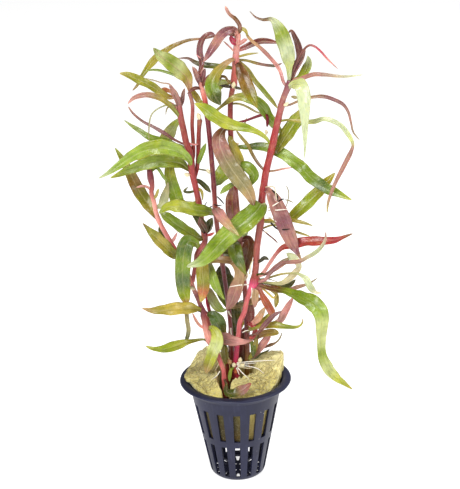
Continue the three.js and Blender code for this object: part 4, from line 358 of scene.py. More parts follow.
STEM_LEFT_CROWN = Stem(
    name="stem_left_crown",
    tints=[(60, "redbrown"), (85, "redbrown"), (110, "rosewood"), (140, "rosewood"), (150, "red"),
        (180, "redbrown"), (188, "brick"), (192, "mauve"), (199, "plum")],
    routes=[
        [[-4.5, 36.8, 0.5, 2], [-4.2, 60], [-6.5, 68, 1], [-8.5, 76, 1.5], [-9.8, 81], [-11.8, 87, 1, 1.8],
        [-12.6, 94, 0.5], [-12.3, 104, 0, 2], [-12.5, 115, -0.5, 2.2], [-13.2, 127, -1.5, 2.4],
        [-14.6, 140, -2, 2.7], [-16, 149, -2.5, 2.9], [-17.4, 157, -3, 3], [-18, 166, -3.5], [-19.8, 172],
        [-20.8, 178], [-21.8, 184], [-22.3, 189, -3.5, 2.8], [-22.7, 194, -3.5, 1.8]],
        [[-17.5, 161, -2.8, 1.6], [-16.6, 166, -1, 1.8], [-16.5, 172, 0.5], [-16.7, 180, 1], [-16.2, 190],
        [-17.3, 195.5, 1, 1.6]],
        [[-16, 153, -2.6, 1.6], [-15, 160, 0, 2], [-14.4, 166, 1.5], [-14, 172, 2, 2.2], [-13.6, 178, 2, 2],
        [-13, 183, 2, 2.6]],
    ],
    sprigs=[
        ("mauve grey", [[-22.8, 193, -3.5, 0.7], [-26, 199.6, -2, 0.6], [-30, 200.6, -1], [-33, 201.7],
        [-37.5, 203, -1, 0.3]]),
        ("tan orange bronze", [[-22.8, 192.5, -3, 1], [-26.5, 196.5, -2, 1.6], [-29, 196.5, -1, 3.4],
        [-30.5, 194.6, -1, 1]]),
        ("moss olive mauve rose", [[-22, 183, -3.5, 1], [-25, 188, -6, 2], [-29, 192, -9, 2.5],
        [-34, 194.5, -12, 2.7], [-39, 194.9, -14, 2.5], [-43, 193.7, -15, 1.8], [-46, 191, -16, 0.5]]),
        ("wine plum mauve", [[-19.8, 170, -3.5, 0.8], [-25, 173.3, -1, 1.1], [-31, 177.5, 2, 1.8],
        [-35, 180, 3, 1.5], [-40, 183, 4, 1.2], [-44, 187, 4, 1], [-45.8, 190, 4, 0.5]]),
        ("mint grey", [[-22, 187, -3.5, 0.7], [-27, 190, -5], [-31, 189, -6], [-35, 186], [-36.5, 181],
        [-37, 172.5, -6, 0.3]]),
        ("dark green moss", [[-18.3, 165, -3.5, 1], [-23, 169.5, 0, 2], [-29, 172.5, 2, 2.8],
        [-36, 174.5, 6, 3], [-41, 178, 8, 2.4], [-45, 181, 9, 1.4], [-48, 183.5, 10, 0.4]]),
        ("moss khaki moss", [[-21.8, 183.5, -3.5, 1.2], [-24.5, 180.5, 1, 4], [-27.5, 176, 6, 6],
        [-30.5, 171.5, 9, 5], [-33, 167.5, 11, 0.6]]),
        ("grey green", [[-12.6, 98.5, 0.3, 1], [-11.3, 96.5, -3, 3.5], [-10, 92.5, -4.5, 4.6],
        [-8, 88.8, -5, 4.4], [-5.2, 86.8, -5, 2.5], [-3.2, 87.2, -5.2, 0.5]]),
        ("dark olive", [[-5.5, 70, 0.8, 1], [-5.2, 67.5, -1.5, 3], [-4.9, 64, -2, 3.6],
        [-4.6, 60, -2.5, 2.5], [-4.5, 58, -2.5, 0.6]]),
        ("dark", [[-16.8, 154, -2.9, 0.9], [-13.5, 152, 0, 2.4], [-11.3, 149.7, 0.5], [-9, 147, 0.5, 0.5]]),
        ("dark", [[-16, 148.5, -2.5, 0.8], [-19, 147.5, -3.5, 1.2], [-21.5, 148],
        [-19.5, 150.5, -3.5, 0.4]]),
        ("olive", [[-15.6, 150, -2.5, 0.8], [-13.5, 148, -3, 1.4], [-13, 143, -3.5, 0.4]]),
        ("green", [[-17.2, 195.5, 1, 1], [-16.5, 199, 2, 1.2], [-22, 203, 3, 1.3], [-27, 205.3],
        [-33, 206.7, 2, 1], [-37, 206.3, 1, 0.4]]),
        ("green", [[-14.9, 161, 0.3, 0.9], [-13.4, 164.5, -1.5, 2.2], [-12, 168, -2, 2.3],
        [-10.4, 171.5, -2, 0.4]]),
        ("dark cream", [[-15, 159, 0, 0.7], [-11, 158, 0, 0.8], [-9.8, 157.5, -1.5, 1.6],
        [-9.3, 156.3, -1.5, 0.5]]),
        ("plum mauve plum", [[-21.7, 188, -3.5, 1.4], [-22.8, 191.6, -5, 2.6], [-24.1, 195, -6, 3],
        [-25.5, 197.8, -6.5, 1.8], [-26.6, 199.5, -6.8, 0.4]]),
        ("plum mauve", [[-21.7, 188, -3.3, 1.2], [-20.8, 191.8, -1.5, 2], [-20.2, 195.1, -0.5, 1.8],
        [-19.4, 197.9, 0, 0.4]]),
        ("rose", [[-21.8, 186.6, -3.3, 0.6], [-24.4, 189.8, -4.5, 0.8], [-27.1, 192, -5, 0.3]]),
    ],
    leaves=[
        ("leaf_left_broad_green", "moss bright bright moss bright bright mint", [[-17.2, 160.6, -4, 1],
        [-18.6, 163.2, -6, 2.6], [-21.4, 166.2, -8, 4.4], [-26.5, 168.5, -10.5, 6.3],
        [-32, 169.5, -13, 7.1], [-37.6, 169, -15, 6.6], [-43.3, 166.8, -17, 5.6],
        [-49.1, 163.2, -18.5, 4.2], [-55.4, 158.9, -19.5, 2.4], [-61.5, 155.6, -20.5, 0.5]]),
        ("leaf_left_lower_green", "dark moss bright bright lime", [[-17.6, 158.5, -3, 1.2],
        [-22.1, 161.4, -3, 4], [-25.5, 162.6, -4, 5.6], [-30.5, 163.1, -6, 6.4], [-37, 162.4, -8.5, 6],
        [-43.6, 160.4, -11, 4.8], [-50.3, 157.9, -13.5, 3], [-56.1, 155.6, -15, 0.5]]),
        ("leaf_top_left_pale", "rosewood tan olive pale moss pale green | rose", [[-17.2, 196, 1, 1.2],
        [-17.4, 199, 0, 3], [-18.6, 203, -1, 5.5], [-22, 206.5, -3, 7.5], [-26, 210, -6, 7],
        [-30, 213, -9, 5], [-33, 217, -12, 0.6]]),
        ("leaf_left_upper_olive", "rust olive khaki khaki olive", [[-23, 196, -3.5, 1.2],
        [-27, 193.8, -5, 2.5], [-30.5, 196, -6, 3.2], [-35, 199.3, -8, 3.8], [-40, 202, -10],
        [-45, 204.5, -12, 3], [-49, 205.7, -14, 0.5]]),
        ("leaf_left_upright_olive", "khaki moss green khaki green", [[-15.2, 143, -2.5, 1],
        [-20, 141, -3, 3], [-24.5, 142.5, -4, 6], [-26, 147, -4.5, 6.5], [-27.3, 152, -4.5, 6],
        [-28, 158, -4, 5], [-27.6, 163, -3, 3], [-27, 168, -2, 0.6]]),
        ("leaf_left_middle_green", "dark moss green moss", [[-13.1, 124.5, -1.5, 1],
        [-15.8, 124.6, -4, 3.5], [-20, 127.2, -6.5, 5], [-25, 131, -8, 5.2], [-30, 135.3, -8.5, 4.6],
        [-33.5, 138, -7.5, 0.5]]),
        ("leaf_middle_hanging_green", "mint bright green moss", [[-12.4, 113, -0.5, 1],
        [-11.2, 109.5, -7, 4], [-9.6, 104, -10.5, 4.8], [-7.8, 98.5, -11, 3.8], [-5.8, 95, -11, 2],
        [-4.2, 92.3, -11, 0.4]]),
        ("leaf_middle_tan_arch", "olive tan tan mauve mauve", [[-12.3, 111.5, -0.5, 1], [-9, 113, -2, 3],
        [-4, 112.8, -3, 3.4], [0.5, 111.8, -3.5, 4], [3, 108, -4, 4.6], [3.2, 103, -4.2, 5.2],
        [1.8, 98.5, -4.5, 6.6], [0.4, 94.5, -5, 6.4], [-1.2, 90.5, -5.5, 4.6], [-3.6, 87, -6, 0.6]]),
        ("leaf_back_left_low", "olive maroon bronze | rose", [[-12.8, 120, -0.8, 1.2], [-14, 118, 6, 5],
        [-14, 113, 12, 6], [-14.4, 107, 16], [-14.3, 101, 18, 4.5], [-14.5, 96.5, 19, 0.6]]),
        ("leaf_back_left_broad", "green moss lime", [[-18.6, 168.5, -3.5, 1.2], [-22, 168, 4, 5],
        [-27, 168, 11, 7], [-33, 167.5, 17], [-39, 166.5, 22, 5], [-45, 164.5, 26, 0.6]]),
    ],
)
STEM_LEFT_LOW = Stem(
    name="stem_left_low",
    tints=[(50, "rosy"), (62, "rosy"), (70, "rosewood"), (78, "salmon"), (86, "rosewood"), (90, "maroon"),
        (99, "maroon"), (103, "salmon"), (120, "rosy"), (145, "salmon"), (152, "rosewood"), (158, "wine")],
    routes=[
        [[-5.4, 32.2, -8.5, 2.2], [-5.7, 50, -9], [-5.9, 55, -9.5], [-6.9, 58.4], [-8.5, 63, -9.3, 2.4],
        [-10.6, 67.5, -9, 3], [-12.3, 72, -9, 4], [-13, 76, -9, 4.2], [-13.4, 80], [-14, 84, -9, 4.4],
        [-15, 87, -9, 2.6], [-16, 90, -9, 2.2], [-17.3, 94], [-18.8, 98], [-20.2, 102, -9, 3],
        [-21, 105, -9.3, 2.4], [-22.7, 109, -9.5, 2.2], [-24.5, 113], [-26.5, 117.5], [-28, 121],
        [-31, 127], [-34, 133.5], [-35.3, 138], [-36, 143], [-37, 148], [-36.5, 151], [-37, 155, -9.5, 3.2],
        [-37.5, 160.5, -9.5, 2.4]],
    ],
    sprigs=[
        ("rose", [[-36.8, 148.5, -9.5, 1], [-38.5, 150.5, -9.5, 1.2], [-41, 151.3],
        [-44.5, 150.5, -9.5, 0.4]]),
        ("green", [[-37, 158, -9.5, 1], [-34, 160, -10, 1.5], [-31, 155.5], [-29.5, 153, -10, 0.4]]),
        ("olive", [[-36.4, 145, -9.5, 0.8], [-35, 146, -10.5, 1.4], [-34.2, 148],
        [-33.5, 150, -10.5, 0.4]]),
        ("mint grey", [[-35.6, 140.5, -9.5, 1], [-32.5, 141.3, -8, 3.5], [-31, 145, -7.5, 4.2],
        [-29.7, 149.5, -7.5, 2.6], [-29, 153, -8, 0.5]]),
        ("dark", [[-29, 123, -9, 1], [-31.5, 125.5, -7, 3], [-33.5, 129, -6, 2.5], [-34, 131.5, -6, 0.5]]),
        ("rose", [[-28.8, 122.5, -9.5, 0.8], [-27.3, 124.5, -10, 1.6], [-25.5, 128, -10.5, 0.4]]),
        ("salmon", [[-14.6, 76.5, -9, 1], [-16.5, 79, -9.3, 1.4], [-18.5, 82, -9.5], [-20, 86, -9.5, 0.6]]),
        ("black grey dark", [[-15, 85.8, -9, 0.8], [-19, 87.5, -11.3, 1.5], [-22.4, 86.5, -11.5, 2],
        [-22.7, 82, -12, 2.2], [-22.2, 77], [-23, 73, -12, 2], [-24, 71.3, -12, 0.5]]),
    ],
    leaves=[
        ("leaf_left_rising_olive", "umber olive khaki bronze khaki moss", [[-34.2, 134, -9.5, 1.4],
        [-36.8, 138.3, -7, 4], [-39.5, 143, -5, 5.8], [-43, 149, -4, 6], [-46, 156, -4, 5.2],
        [-49.5, 164, -5, 3.2], [-53, 170.5, -6, 0.5]]),
        ("leaf_left_low_olive", "green khaki olive khaki bronze", [[-25.5, 115, -9.5, 1.2],
        [-28.5, 117, -13, 4.5], [-32, 121, -15, 5.6], [-36, 125.5, -17, 5.2], [-39.5, 129.8, -18, 2.5],
        [-42, 133, -19, 0.4]]),
        ("leaf_low_left_yellow", "khaki olive yellow olive tan", [[-15.2, 87.6, -9, 1.2], [-17, 88, -11, 2],
        [-20, 88.3, -13, 4.9], [-25, 88.2, -15, 6.1], [-30, 87.9, -17, 6], [-35, 87.6, -18, 4.6],
        [-40, 87.8, -19, 2.7], [-44.5, 89.2, -20, 0.5]]),
        ("leaf_low_left_lime", "fern khaki lime moss lime", [[-12.5, 71.3, -9, 0.8], [-15, 71.6, -10, 1],
        [-20, 71, -12, 1.9], [-24, 70.2, -14, 3], [-27, 69.1, -15, 4.6], [-30, 68.2, -16, 5.2],
        [-35, 67, -17, 3.6], [-40, 67.4, -18, 2.1], [-43.8, 69.2, -19, 0.5]]),
        ("leaf_low_front_lime", "moss lime pale lime tan | cream", [[-12.9, 78, -9, 1.2],
        [-10.5, 77.5, -13.2, 3], [-8.8, 74.5, -15, 5], [-8.6, 70, -16, 6.5], [-10.2, 66, -14, 6.3],
        [-11.6, 62, -11, 5.6], [-13, 58, -8, 5], [-14.5, 53.5, -6, 0.6]]),
        ("leaf_low_dark_green", "dark fern dark fern | green", [[-13, 85.5, -9, 1.2],
        [-10.5, 84.5, -10.5, 4.5], [-8.3, 81.5, -11, 7], [-6.6, 77.5, -9.5, 6], [-5, 74, -7.2, 2.5],
        [-4, 71.5, -6.6, 0.5]]),
        ("leaf_low_mauve", "mauve mauve rose mauve | rose", [[-12, 73, -9, 1.2], [-8.8, 72.3, -10.5, 4.5],
        [-5, 71.4, -11, 6], [-2, 70.6, -11, 5.5], [1, 70, -10.5, 4.2], [4, 69.7, -10, 2.8],
        [7, 70.1, -9.5, 1.5], [9.4, 70.6, -9, 0.4]]),
        # Painted shade: the base of this leaf is coloured as deep shadow
        ("leaf_on_wool", "black dark dark mauve rosewood", [[-5.7, 50, -9, 1], [-4.6, 47, -15, 1.5],
        [-4.4, 42.6, -20.5, 3.2], [-1, 41.8, -22.3, 4.6], [3, 43.4, -21.5, 5], [6, 45.8, -19.5, 2.6],
        [7.8, 47.4, -18.5, 0.5]]),
    ],
)
STEM_LEFT_SIDE = Stem(
    name="stem_left_side",
    branch_of="stem_left_low",
    tints=[(103, "rosy"), (119, "rosewood"), (124, "brick"), (127, "wine")],
    routes=[
        [[-19.6, 102.5, -9.2, 2], [-18.6, 106, -9.5], [-17.5, 111, -10, 2.3], [-16.5, 116.5, -10, 2.5],
        [-15, 119.5], [-12.7, 122.5, -10, 2.4], [-12.2, 127, -10, 2]],
    ],
    sprigs=[
        ("black dark", [[-12.2, 126.5, -10, 1], [-12.8, 129.5, -10.5, 4.2], [-14.8, 132.8, -10.5, 4],
        [-18.4, 136.6, -10, 0.5]]),
        ("black dark", [[-12.2, 126.5, -10, 1], [-11, 129.5, -9, 4], [-9.8, 132.3, -8.5, 3.4],
        [-8.6, 134.8, -8.5, 0.4]]),
        ("crimson", [[-12, 125.5, -10, 0.8], [-10, 126, -11, 1.4], [-7.8, 127.2, -11.5, 0.4]]),
        ("black maroon", [[-11.6, 127.5, -10, 0.9], [-12.9, 129.3, -11.5, 3.2], [-14.2, 131.8, -12, 3.2],
        [-14.8, 135.1, -12.5, 0.6]]),
    ],
    leaves=[
        ("leaf_front_hanging_broad", "moss green fern green fern moss orange", [[-15.4, 119.3, -10, 1.2],
        [-17.5, 122.3, -12.5, 4], [-20.7, 122.6, -14.5, 6.8], [-22.7, 118, -15.5, 7.8],
        [-23.6, 111, -16, 7.5], [-24, 105, -16, 7.2], [-23.8, 99, -14.5, 6.6], [-23.2, 94, -12.5, 4.6],
        [-22.8, 90, -11, 0.8]]),
        ("leaf_front_hanging_narrow", "khaki olive khaki orange yellow", [[-16.2, 115.5, -10, 1.2],
        [-14.4, 112.5, -12.5, 5], [-14.4, 106, -13.5, 6.3], [-14.2, 100, -13.5, 6.2],
        [-14.7, 95.5, -13, 4.2], [-15.8, 91.3, -12.5, 0.5]]),
    ],
)

STEMS = [STEM_RIGHT, STEM_TALL, STEM_CENTER, STEM_LEFT_CROWN, STEM_LEFT_LOW, STEM_LEFT_SIDE]
PINK_STEMS = ("stem_right", "stem_left_low", "stem_left_side")
PLANT_SEED = 5

# How many degrees a leaf turns its face up, and how deeply it is folded, with the leaves that differ
LEAF_OPENED = 25
LESS_OPENED = {
    "leaf_front_bright_green": 15, "leaf_middle_brown_grey": 15, "leaf_middle_dark": 15,
    "leaf_left_broad_green": 18, "leaf_left_lower_green": 18, "leaf_front_hanging_broad": 18,
}
LEAF_FOLD = 0.18
SPRIG_FOLD = 0.2
DEEPER_FOLD = {"leaf_left_broad_green": 0.3}

# The slot name that a leaf's piece is built with, by the middle colour of its look
LEAF_SLOTS = {
    "leaf_pale": ("pale", "lime", "yellow", "mint"),
    "leaf_green": ("green", "bright", "moss", "fern", "dark"),
    "leaf_olive": ("olive", "khaki"),
    "leaf_bronze": ("bronze", "tan", "rust", "grey"),
    "leaf_rose": ("rose", "mauve"),
    "leaf_red": ("crimson", "plum", "maroon"),
}

# Roots, stubs and buds as [x, z, y, width] rows, with their looks. The last row is the pointed end.
ROOTS = [
    ("white", [[1, 58.5, -5, 0.9], [6.4, 59, -1, 0.7], [13.3, 59.3, 2.5, 0.5], [20, 59.4, 3, 0.2]]),
    ("white", [[0.9, 57.7, -5, 0.8], [5.9, 57.9, -1, 0.6], [10.8, 58.3, 2, 0.2]]),
    ("white", [[1.2, 56.9, -5, 0.8], [5.9, 56.7, -3, 0.6], [10.8, 55.2, -3, 0.5], [14.4, 52.1, -6.7, 0.2]]),
    ("cream", [[1.2, 56.6, -5, 0.7], [4.8, 55.7, -4, 0.6], [8.5, 55.4, -3, 0.2]]),
    ("white", [[1.1, 56.1, -5, 0.7], [3.8, 52.7, -9, 0.5], [6.9, 49.5, -11.2, 0.2]]),
    ("white", [[0.6, 55.8, -5, 0.7], [1.3, 53.9, -7, 0.5], [2, 51.8, -8, 0.2]]),
    ("white", [[-7.5, 54.4, -9.5, 0.6], [-9.3, 51.8, -9, 0.5], [-12.1, 49.7, -11.4, 0.2]]),
    ("cream", [[-7.7, 58.8, -9.3, 0.6], [-8.9, 56.6, -7.5, 0.5], [-10, 54.5, -6, 0.2]]),
    ("white", [[7.6, 100, -5, 0.7], [3.5, 99.8, -7, 0.6], [-1.9, 99, -8.5, 0.2]]),
    ("white", [[9, 99.7, -6, 0.7], [9.2, 96, -7.5, 0.6], [8.9, 92.4, -8, 0.2]]),
    ("cream", [[8.2, 105.4, -6, 0.8], [8.8, 109.5, -7, 0.7], [10.3, 113.6, -8, 0.2]]),
    ("bronze", [[6.3, 77.7, 0, 0.6], [9.1, 78.9, -2], [10.7, 76.2, -3], [9.6, 72.2, -3.5],
        [7.4, 70.7, -3, 0.3]]),
    ("white", [[4.1, 74.8, -5, 0.6], [5.8, 75.7, -6.5, 0.5], [7.5, 75.9, -7, 0.2]]),
    ("black", [[19.7, 147.5, -12, 0.5], [21.6, 145.2, -14.5, 0.9], [22.3, 142.2, -15.5, 0.3]]),
    ("black", [[22.7, 141.5, -14.5, 0.5], [24.1, 142.7, -15, 0.7], [25.8, 142.9, -15.5, 0.3]]),
    ("umber", [[14.6, 128, -6.5, 0.5], [18.4, 124.5, -10, 0.7], [20.7, 122.4, -11], [22.1, 120.6, -11, 0.3]]),
    ("black", [[18.8, 131.3, -16.5, 0.8], [21.8, 128.2, -17.5, 0.9], [25.1, 127.5, -17.5, 0.7],
        [28, 127.8, -17, 0.3]]),
    ("grey", [[26, 142.5, -13, 0.5], [28.2, 141.8, -13, 0.6], [30, 140.8, -13, 0.2]]),
    ("grey", [[26.6, 149.3, -9, 0.4], [27.6, 146.3, -11, 0.5], [27.2, 142.3, -12], [25.7, 137.4, -13, 0.2]]),
    ("cream", [[15.8, 149, -7, 0.6], [20.5, 149, -9, 0.5], [21.4, 145.6, -14.5], [22, 142, -16, 0.2]]),
    ("white", [[17.9, 138.6, -8, 0.6], [20.6, 140, -16.5], [22.9, 141.5, -17, 0.2]]),
    ("white", [[17.9, 137.4, -8, 0.6], [22.4, 137.5, -17, 0.5], [28.1, 137.8, -15, 0.2]]),
    ("white", [[17.9, 134.1, -8, 0.6], [19.7, 133.1, -17], [21.6, 131.5, -17.5, 0.2]]),
    ("white", [[15.8, 126.9, -8, 0.4], [17.2, 126.6, -10, 0.5], [18.7, 127.6, -12], [17.5, 128.3, -12, 0.4],
        [16.3, 127.6, -11, 0.3]]),
    ("black", [[-6.2, 145.1, 0, 0.6], [-4.4, 143.1, -1, 0.7], [-2.8, 141, -2, 0.3]]),
    ("black", [[-7.8, 141.2, 0, 0.5], [-5.9, 140.6, 0, 0.6], [-3.8, 140.8, 0, 0.3]]),
    ("black", [[-8.7, 140.4, 0, 0.5], [-10.9, 139.4, 0, 0.6], [-12, 141, 0, 0.5], [-10.8, 142.7, 0, 0.3]]),
    ("wine", [[1, 180, 0, 1.2], [8, 181.6, -2, 1.1], [17.5, 184, -3, 1.5], [18.2, 181, -3.5],
        [18, 178.5, -4, 0.8]]),
    ("grey", [[10.4, 100.4, -6, 0.6], [16, 102.6, -9], [21.7, 101, -10, 0.2]]),
    ("dark", [[11, 104.6, -6, 0.9], [13.5, 105.3, -8], [16, 105, -9, 0.3]]),
    ("white", [[-2.5, 86.3, 3.5, 0.8], [-1.8, 84.6, 2, 0.7], [-0.8, 83, 1, 0.2]]),
    ("white", [[-1.6, 77.4, 3.5, 0.8], [-1.6, 75.5, 2, 0.7], [-1.2, 73, 1, 0.2]]),
    ("white", [[-6, 67.5, 1, 0.7], [-3.2, 67, -1], [-3.9, 63, -2, 0.6], [-4.3, 60, -3, 0.2]]),
    ("rose", [[-11.6, 211.6, 2, 0.6], [-14, 213.5, 1, 0.2]]),
    ("grey", [[-22.6, 189.5, -4, 0.8], [-26, 190, -6], [-28, 188.3, -7, 0.7], [-28.7, 185.3, -7, 0.2]]),
    ("redbrown", [[-10.4, 82.6, 0.5, 0.8], [-9.7, 80.6, -1], [-9, 78, -2, 0.3]]),
    ("magenta", [[-12.5, 95, 0, 0.8], [-13, 91, -2, 0.7], [-11.7, 86.5, -3, 0.2]]),
    ("rose", [[-18.2, 171.4, -3, 1], [-16.2, 170.8, -2.4], [-14.2, 171, -1.5, 0.7]]),
    ("white", [[4.8, 103.6, 1, 0.6], [2.6, 106.6, -2, 0.5], [2.2, 110, -3, 0.2]]),
    ("white", [[3.2, 198, 1, 0.6], [4.6, 194.8, 0, 0.5], [4.4, 191.4, -1, 0.2]]),
]
BUDS = [
    ("cream", [[-0.4, 56.6, -4.8, 1], [-0.6, 57.4, -5.4, 2.2], [-0.4, 58.4, -5.8, 1.2]]),
    ("cream", [[1.9, 59.2, -4.6, 1], [2.5, 60, -5.2, 2.2], [2.7, 61.3, -5.6, 0.9]]),
    ("cream", [[17.4, 176.8, -1.4, 0.8], [17.6, 175.8, -1.8, 1.7], [17.4, 174.6, -2.2, 0.6]]),
    ("cream", [[5.6, 102.4, -0.3, 1.4], [6.2, 104.4, -0.6, 2.6], [6.6, 107, -0.8, 1]]),
    ("cream", [[2.2, 170, 1, 1], [3.4, 170.2, 0.4, 2], [4.6, 170.8, 0, 0.8]]),
    ("cream", [[2.8, 197.4, 0.8, 1.2], [3, 198.6, 0.4, 2.2], [3.2, 200, 0.2, 0.8]]),
    ("grey", [[29.4, 192.4, -6, 0.8], [31, 192, -6.4, 1.6], [33, 191.8, -6.8, 0.4]]),
    ("cream", [[25.8, 188.4, -7.2, 0.8], [27, 188.8, -7.6, 1.8], [28, 189.6, -7.8, 0.6]]),
    ("cream", [[-11.4, 81.4, -0.4, 1], [-12, 82.2, -0.8, 1.9], [-12.6, 83.4, -1, 0.6]]),
    ("cream", [[-9.7, 157.2, -2, 0.8], [-10, 157.8, -2.2, 1.7], [-10.4, 158.8, -2.4, 0.5]]),
    ("cream", [[-18.8, 98.2, -10, 1.2], [-19.6, 99, -10.4, 2], [-20.6, 99.6, -10.6, 0.6]]),
    ("tan", [[-1.8, 58.2, -3.6, 1], [-2.6, 59.2, -4.4, 2.4], [-3.2, 60.6, -5, 1]]),
    ("cream", [[2.6, 56.4, -4.4, 1], [3.6, 57, -5, 2.2], [4.4, 58, -5.4, 0.8]]),
    ("orange", [[0.6, 55, -4.6, 1], [0.3, 53.9, -5.6, 2], [0.4, 52.6, -6.2, 0.8]]),
    ("cream", [[-13.2, 183, 1.2, 1.4], [-13.4, 184.2, 0.8, 2.2], [-13.8, 185.8, 0.4, 0.8]]),
    ("cream", [[-18.6, 156.2, -4, 1], [-20, 156.2, -4.6, 2], [-21.2, 156.8, -5, 0.6]]),
]

# Leaf blades, creased and grooved at the midrib, thinner toward the margin, and waved
LEAF_THICKNESS = 0.42
THICKNESS_TO_WIDTH = 0.5
MARGIN_THINNING = 0.75
LEAST_HALF_WIDTH = 0.12
NARROWEST_VIEW = 0.35
FEWEST_LEAF_RINGS = 10
RIB_CREAM = 0.45
CREASE = 1.7
CREASE_POWER = 1.25
GROOVE_DEPTH = 0.3
GROOVE_HALF_WIDTH = 0.35
WAVE_PITCH = (7, 11)
WAVE_BEGINS_OVER = 6
FINE_WAVE = 0.25
FINE_PITCH = 0.6
SHADE_VARIES = 0.07
UNDERSIDE_ROSE = (0.0, 0.7)

# Spacing of a blade's rings, corners across it, and how deep its margin's waves are for its width
LEAF_DETAIL = (0.8, 11, 0.14)
SPRIG_DETAIL = (0.9, 7, 0.12)

# Stems: how much a stem swells at a leaf's base, over what length, and how deep leaves and branches sit
KNOT_SWELL = 0.22
KNOT_REACH = 1.6
LEAF_OVERLAP = 0.25
BRANCH_OVERLAP = 0.3
STEM_RIDGE = 0.02
STEM_SIDES = 14
STEM_SPACING = 0.8
ROOT_SIDES = 6
BUD_SIDES = 10
ROOT_SPACING = 0.5
SEARCH_DENSITY = 12

# Ridges of a stem as (how many, how fast they twist)
RIDGES = [(5, 0.05), (3, -0.21)]

# Net pot, with profiles as (radius, height)
SLOTS = 16
SECTOR = TURN / SLOTS
RIB_STEPS = 6
SECTOR_COLUMNS = RIB_STEPS + 2
POT_OUTER = [
    (12.5, 0.3), (13.4, 1.2), (13.9, 2.5), (15.5, 10.7), (17.4, 20.5), (18.05, 24), (21.2, 40),
    (22.3, 45.9), (22.4, 46.4), (22.9, 46.9), (23.2, 48.1), (24, 49.2), (27.2, 49.7), (27.5, 50.2),
    (27.3, 50.8), (27, 51), (23.8, 51), (23.4, 50.7), (22.6, 48.4), (21.5, 46.5),
]
POT_INNER = [(20.1, 40), (16.9, 24), (16.2, 20.5), (14.3, 10.7), (12.8, 2.5), (12.6, 1.2)]
FLOOR_ROWS = [12.1, 5.8, 4.6, 1.8, 0.8]
FLOOR_EDGE = 12.6
FLOOR_THICKNESS = 1.2

# Openings: a slot is (lower end, upper end, width there, width there), and a floor hole has radii for ends
UPPER_SLOT = (24, 40, 3, 3.4)
LOWER_SLOT = (2.5, 20.5, 2.4, 2.8)
BETWEEN_SLOTS = 22
OUTER_HOLE = (5.8, 12.1, 0.9, 2.9)
INNER_HOLE = (1.8, 4.6, 0.9, 1.9)
WIDEST_HOLE = 0.46

# The pot's moulding and its slate colours; the rim's lighter slate is a painted highlight
POT_ROUNDING = 0.22 * MM
SLATE = (0.009, 0.010, 0.032, 1.0)
WORN_SLATE = (0.016, 0.018, 0.049, 1.0)
LIP_HIGHLIGHT_SLATE = (0.026, 0.029, 0.062, 1.0)
STREAK_SLATE = (0.046, 0.05, 0.098, 1.0)
DUST = (0.42, 0.42, 0.44, 1.0)

# Rock wool: its upper edge as [degrees from +X, radius, height], and the pit round the stems' feet
WOOL_BOTTOM = 20
WOOL_BOTTOM_RADIUS = 15.5
WOOL_RADIUS = 23
WOOL_CENTRE_HEIGHT = 56
WOOL_CROWN = 2.4
WOOL_EDGE = [
    [0, 22.5, 56], [20, 25.5, 61], [32, 25, 59.5], [45, 24, 56.5], [70, 22.5, 53], [90, 22.5, 52],
    [110, 22.5, 55.5], [130, 23, 60.5], [145, 23, 60], [152, 23.5, 57.5], [162, 24.5, 54], [180, 25, 53.2],
    [210, 23.3, 52], [240, 23, 51.2], [270, 23, 51.4], [300, 22.3, 50.2], [315, 21.5, 50],
    [330, 21, 50.8], [345, 21.5, 52], [360, 22.5, 56],
]
WOOL_SIDE = [(WOOL_BOTTOM_RADIUS, WOOL_BOTTOM), (18.1, 33), (20.5, 46), (22, 50.4), (22.6, 51.5)]
WOOL_SIDE_STEPS = 5
WOOL_TOP_STEPS = 30
WOOL_DIRECTIONS = 150
LOBE_HEIGHT = 52.5
LOBE_REACH = 26
INSIDE_LIP = 22.8
RIM_HEIGHT = 52
LIP_BOTTOM = 48
EDGE_ROUNDING = (0.5, 0.9)
EDGE_TURNS = (0.35, 0.9)
PIT_FLOOR = 37
PIT_RIM = 1.4
PIT_SLOPE = 2.4
PIT_OUTLINE = [
    [-5.5, -27], [-4, -27], [-3.6, -14], [-2, -10], [1.8, -8], [5, -5.5], [9, -3], [9.8, 1.5], [8, 5.5],
    [3, 8], [-3, 8], [-7.5, 5], [-8, 0], [-7.6, -5], [-8, -9.5], [-7, -13.5], [-5.7, -17],
]
PIT_UNEVENNESS = 2
PIT_WALL = (15, 0.2)

# Lumps of the wool: how fine they are, how far they move its side and its top, and where it gets loose
LUMP_SCALES = (0.16, 0.42, 1.1)
MIDDLING_SHARE = 0.5
SIDE_LUMPS = (0.008, 0.004)
TIGHT_SIDE = 0.4
TOP_LUMPS = (0.9, 0.45)
TOP_SINKS = 0.5
LOOSE_ABOVE = 47
LOOSE_OVER = 5

# Tints of the wool: pale on the lobes, wet lower down, and painted shade below the lip on the left
PALE_ABOVE, PALE_OVER = 51, 8
WET_BELOW, WET_OVER = 50, 18
PAINTED_SHADE_BELOW, PAINTED_SHADE_OVER = 49, 2
PAINTED_SHADE_LEFT_OF = 6
DEEPEST_PAINTED_SHADE = 0.84

# Loose fibres of the wool
FIBRES = 2200
FIBRE_SEED = 11
FIRST_FIBRE_ROW = 12
FIBRE_STEPS = (5, 9)
FIBRE_TURN = 0.5
FIBRE_REACH = (1.5, 1.7)
FIBRE_SIDES = 3
FIBRE_SPACING = 2.0
FIBRE_WIDTH = (0.1, 0.2)
FIBRE_LIFT = (0.03, 0.3)
FIBRE_LIFT_STEP = 0.15
PALE_FIBRES = 0.65
PALE_TONES = (0.8, 1.0)
DULL_TONES = (0.7, 1.1)
LEAST_OUTER = 0.25
LONGEST_FIBRE_STEP = 4

# Camera, measured from the photograph: where it looks, and its roll and focal length
CAMERA_AIM = np.array([-0.00077, 0.0, 0.1208])
CAMERA_ROLL = math.radians(-1.68)
FOCAL_PIXELS = 1409.5
LONGEST_SIDE_PIXELS = 489
SENSOR = 36.0

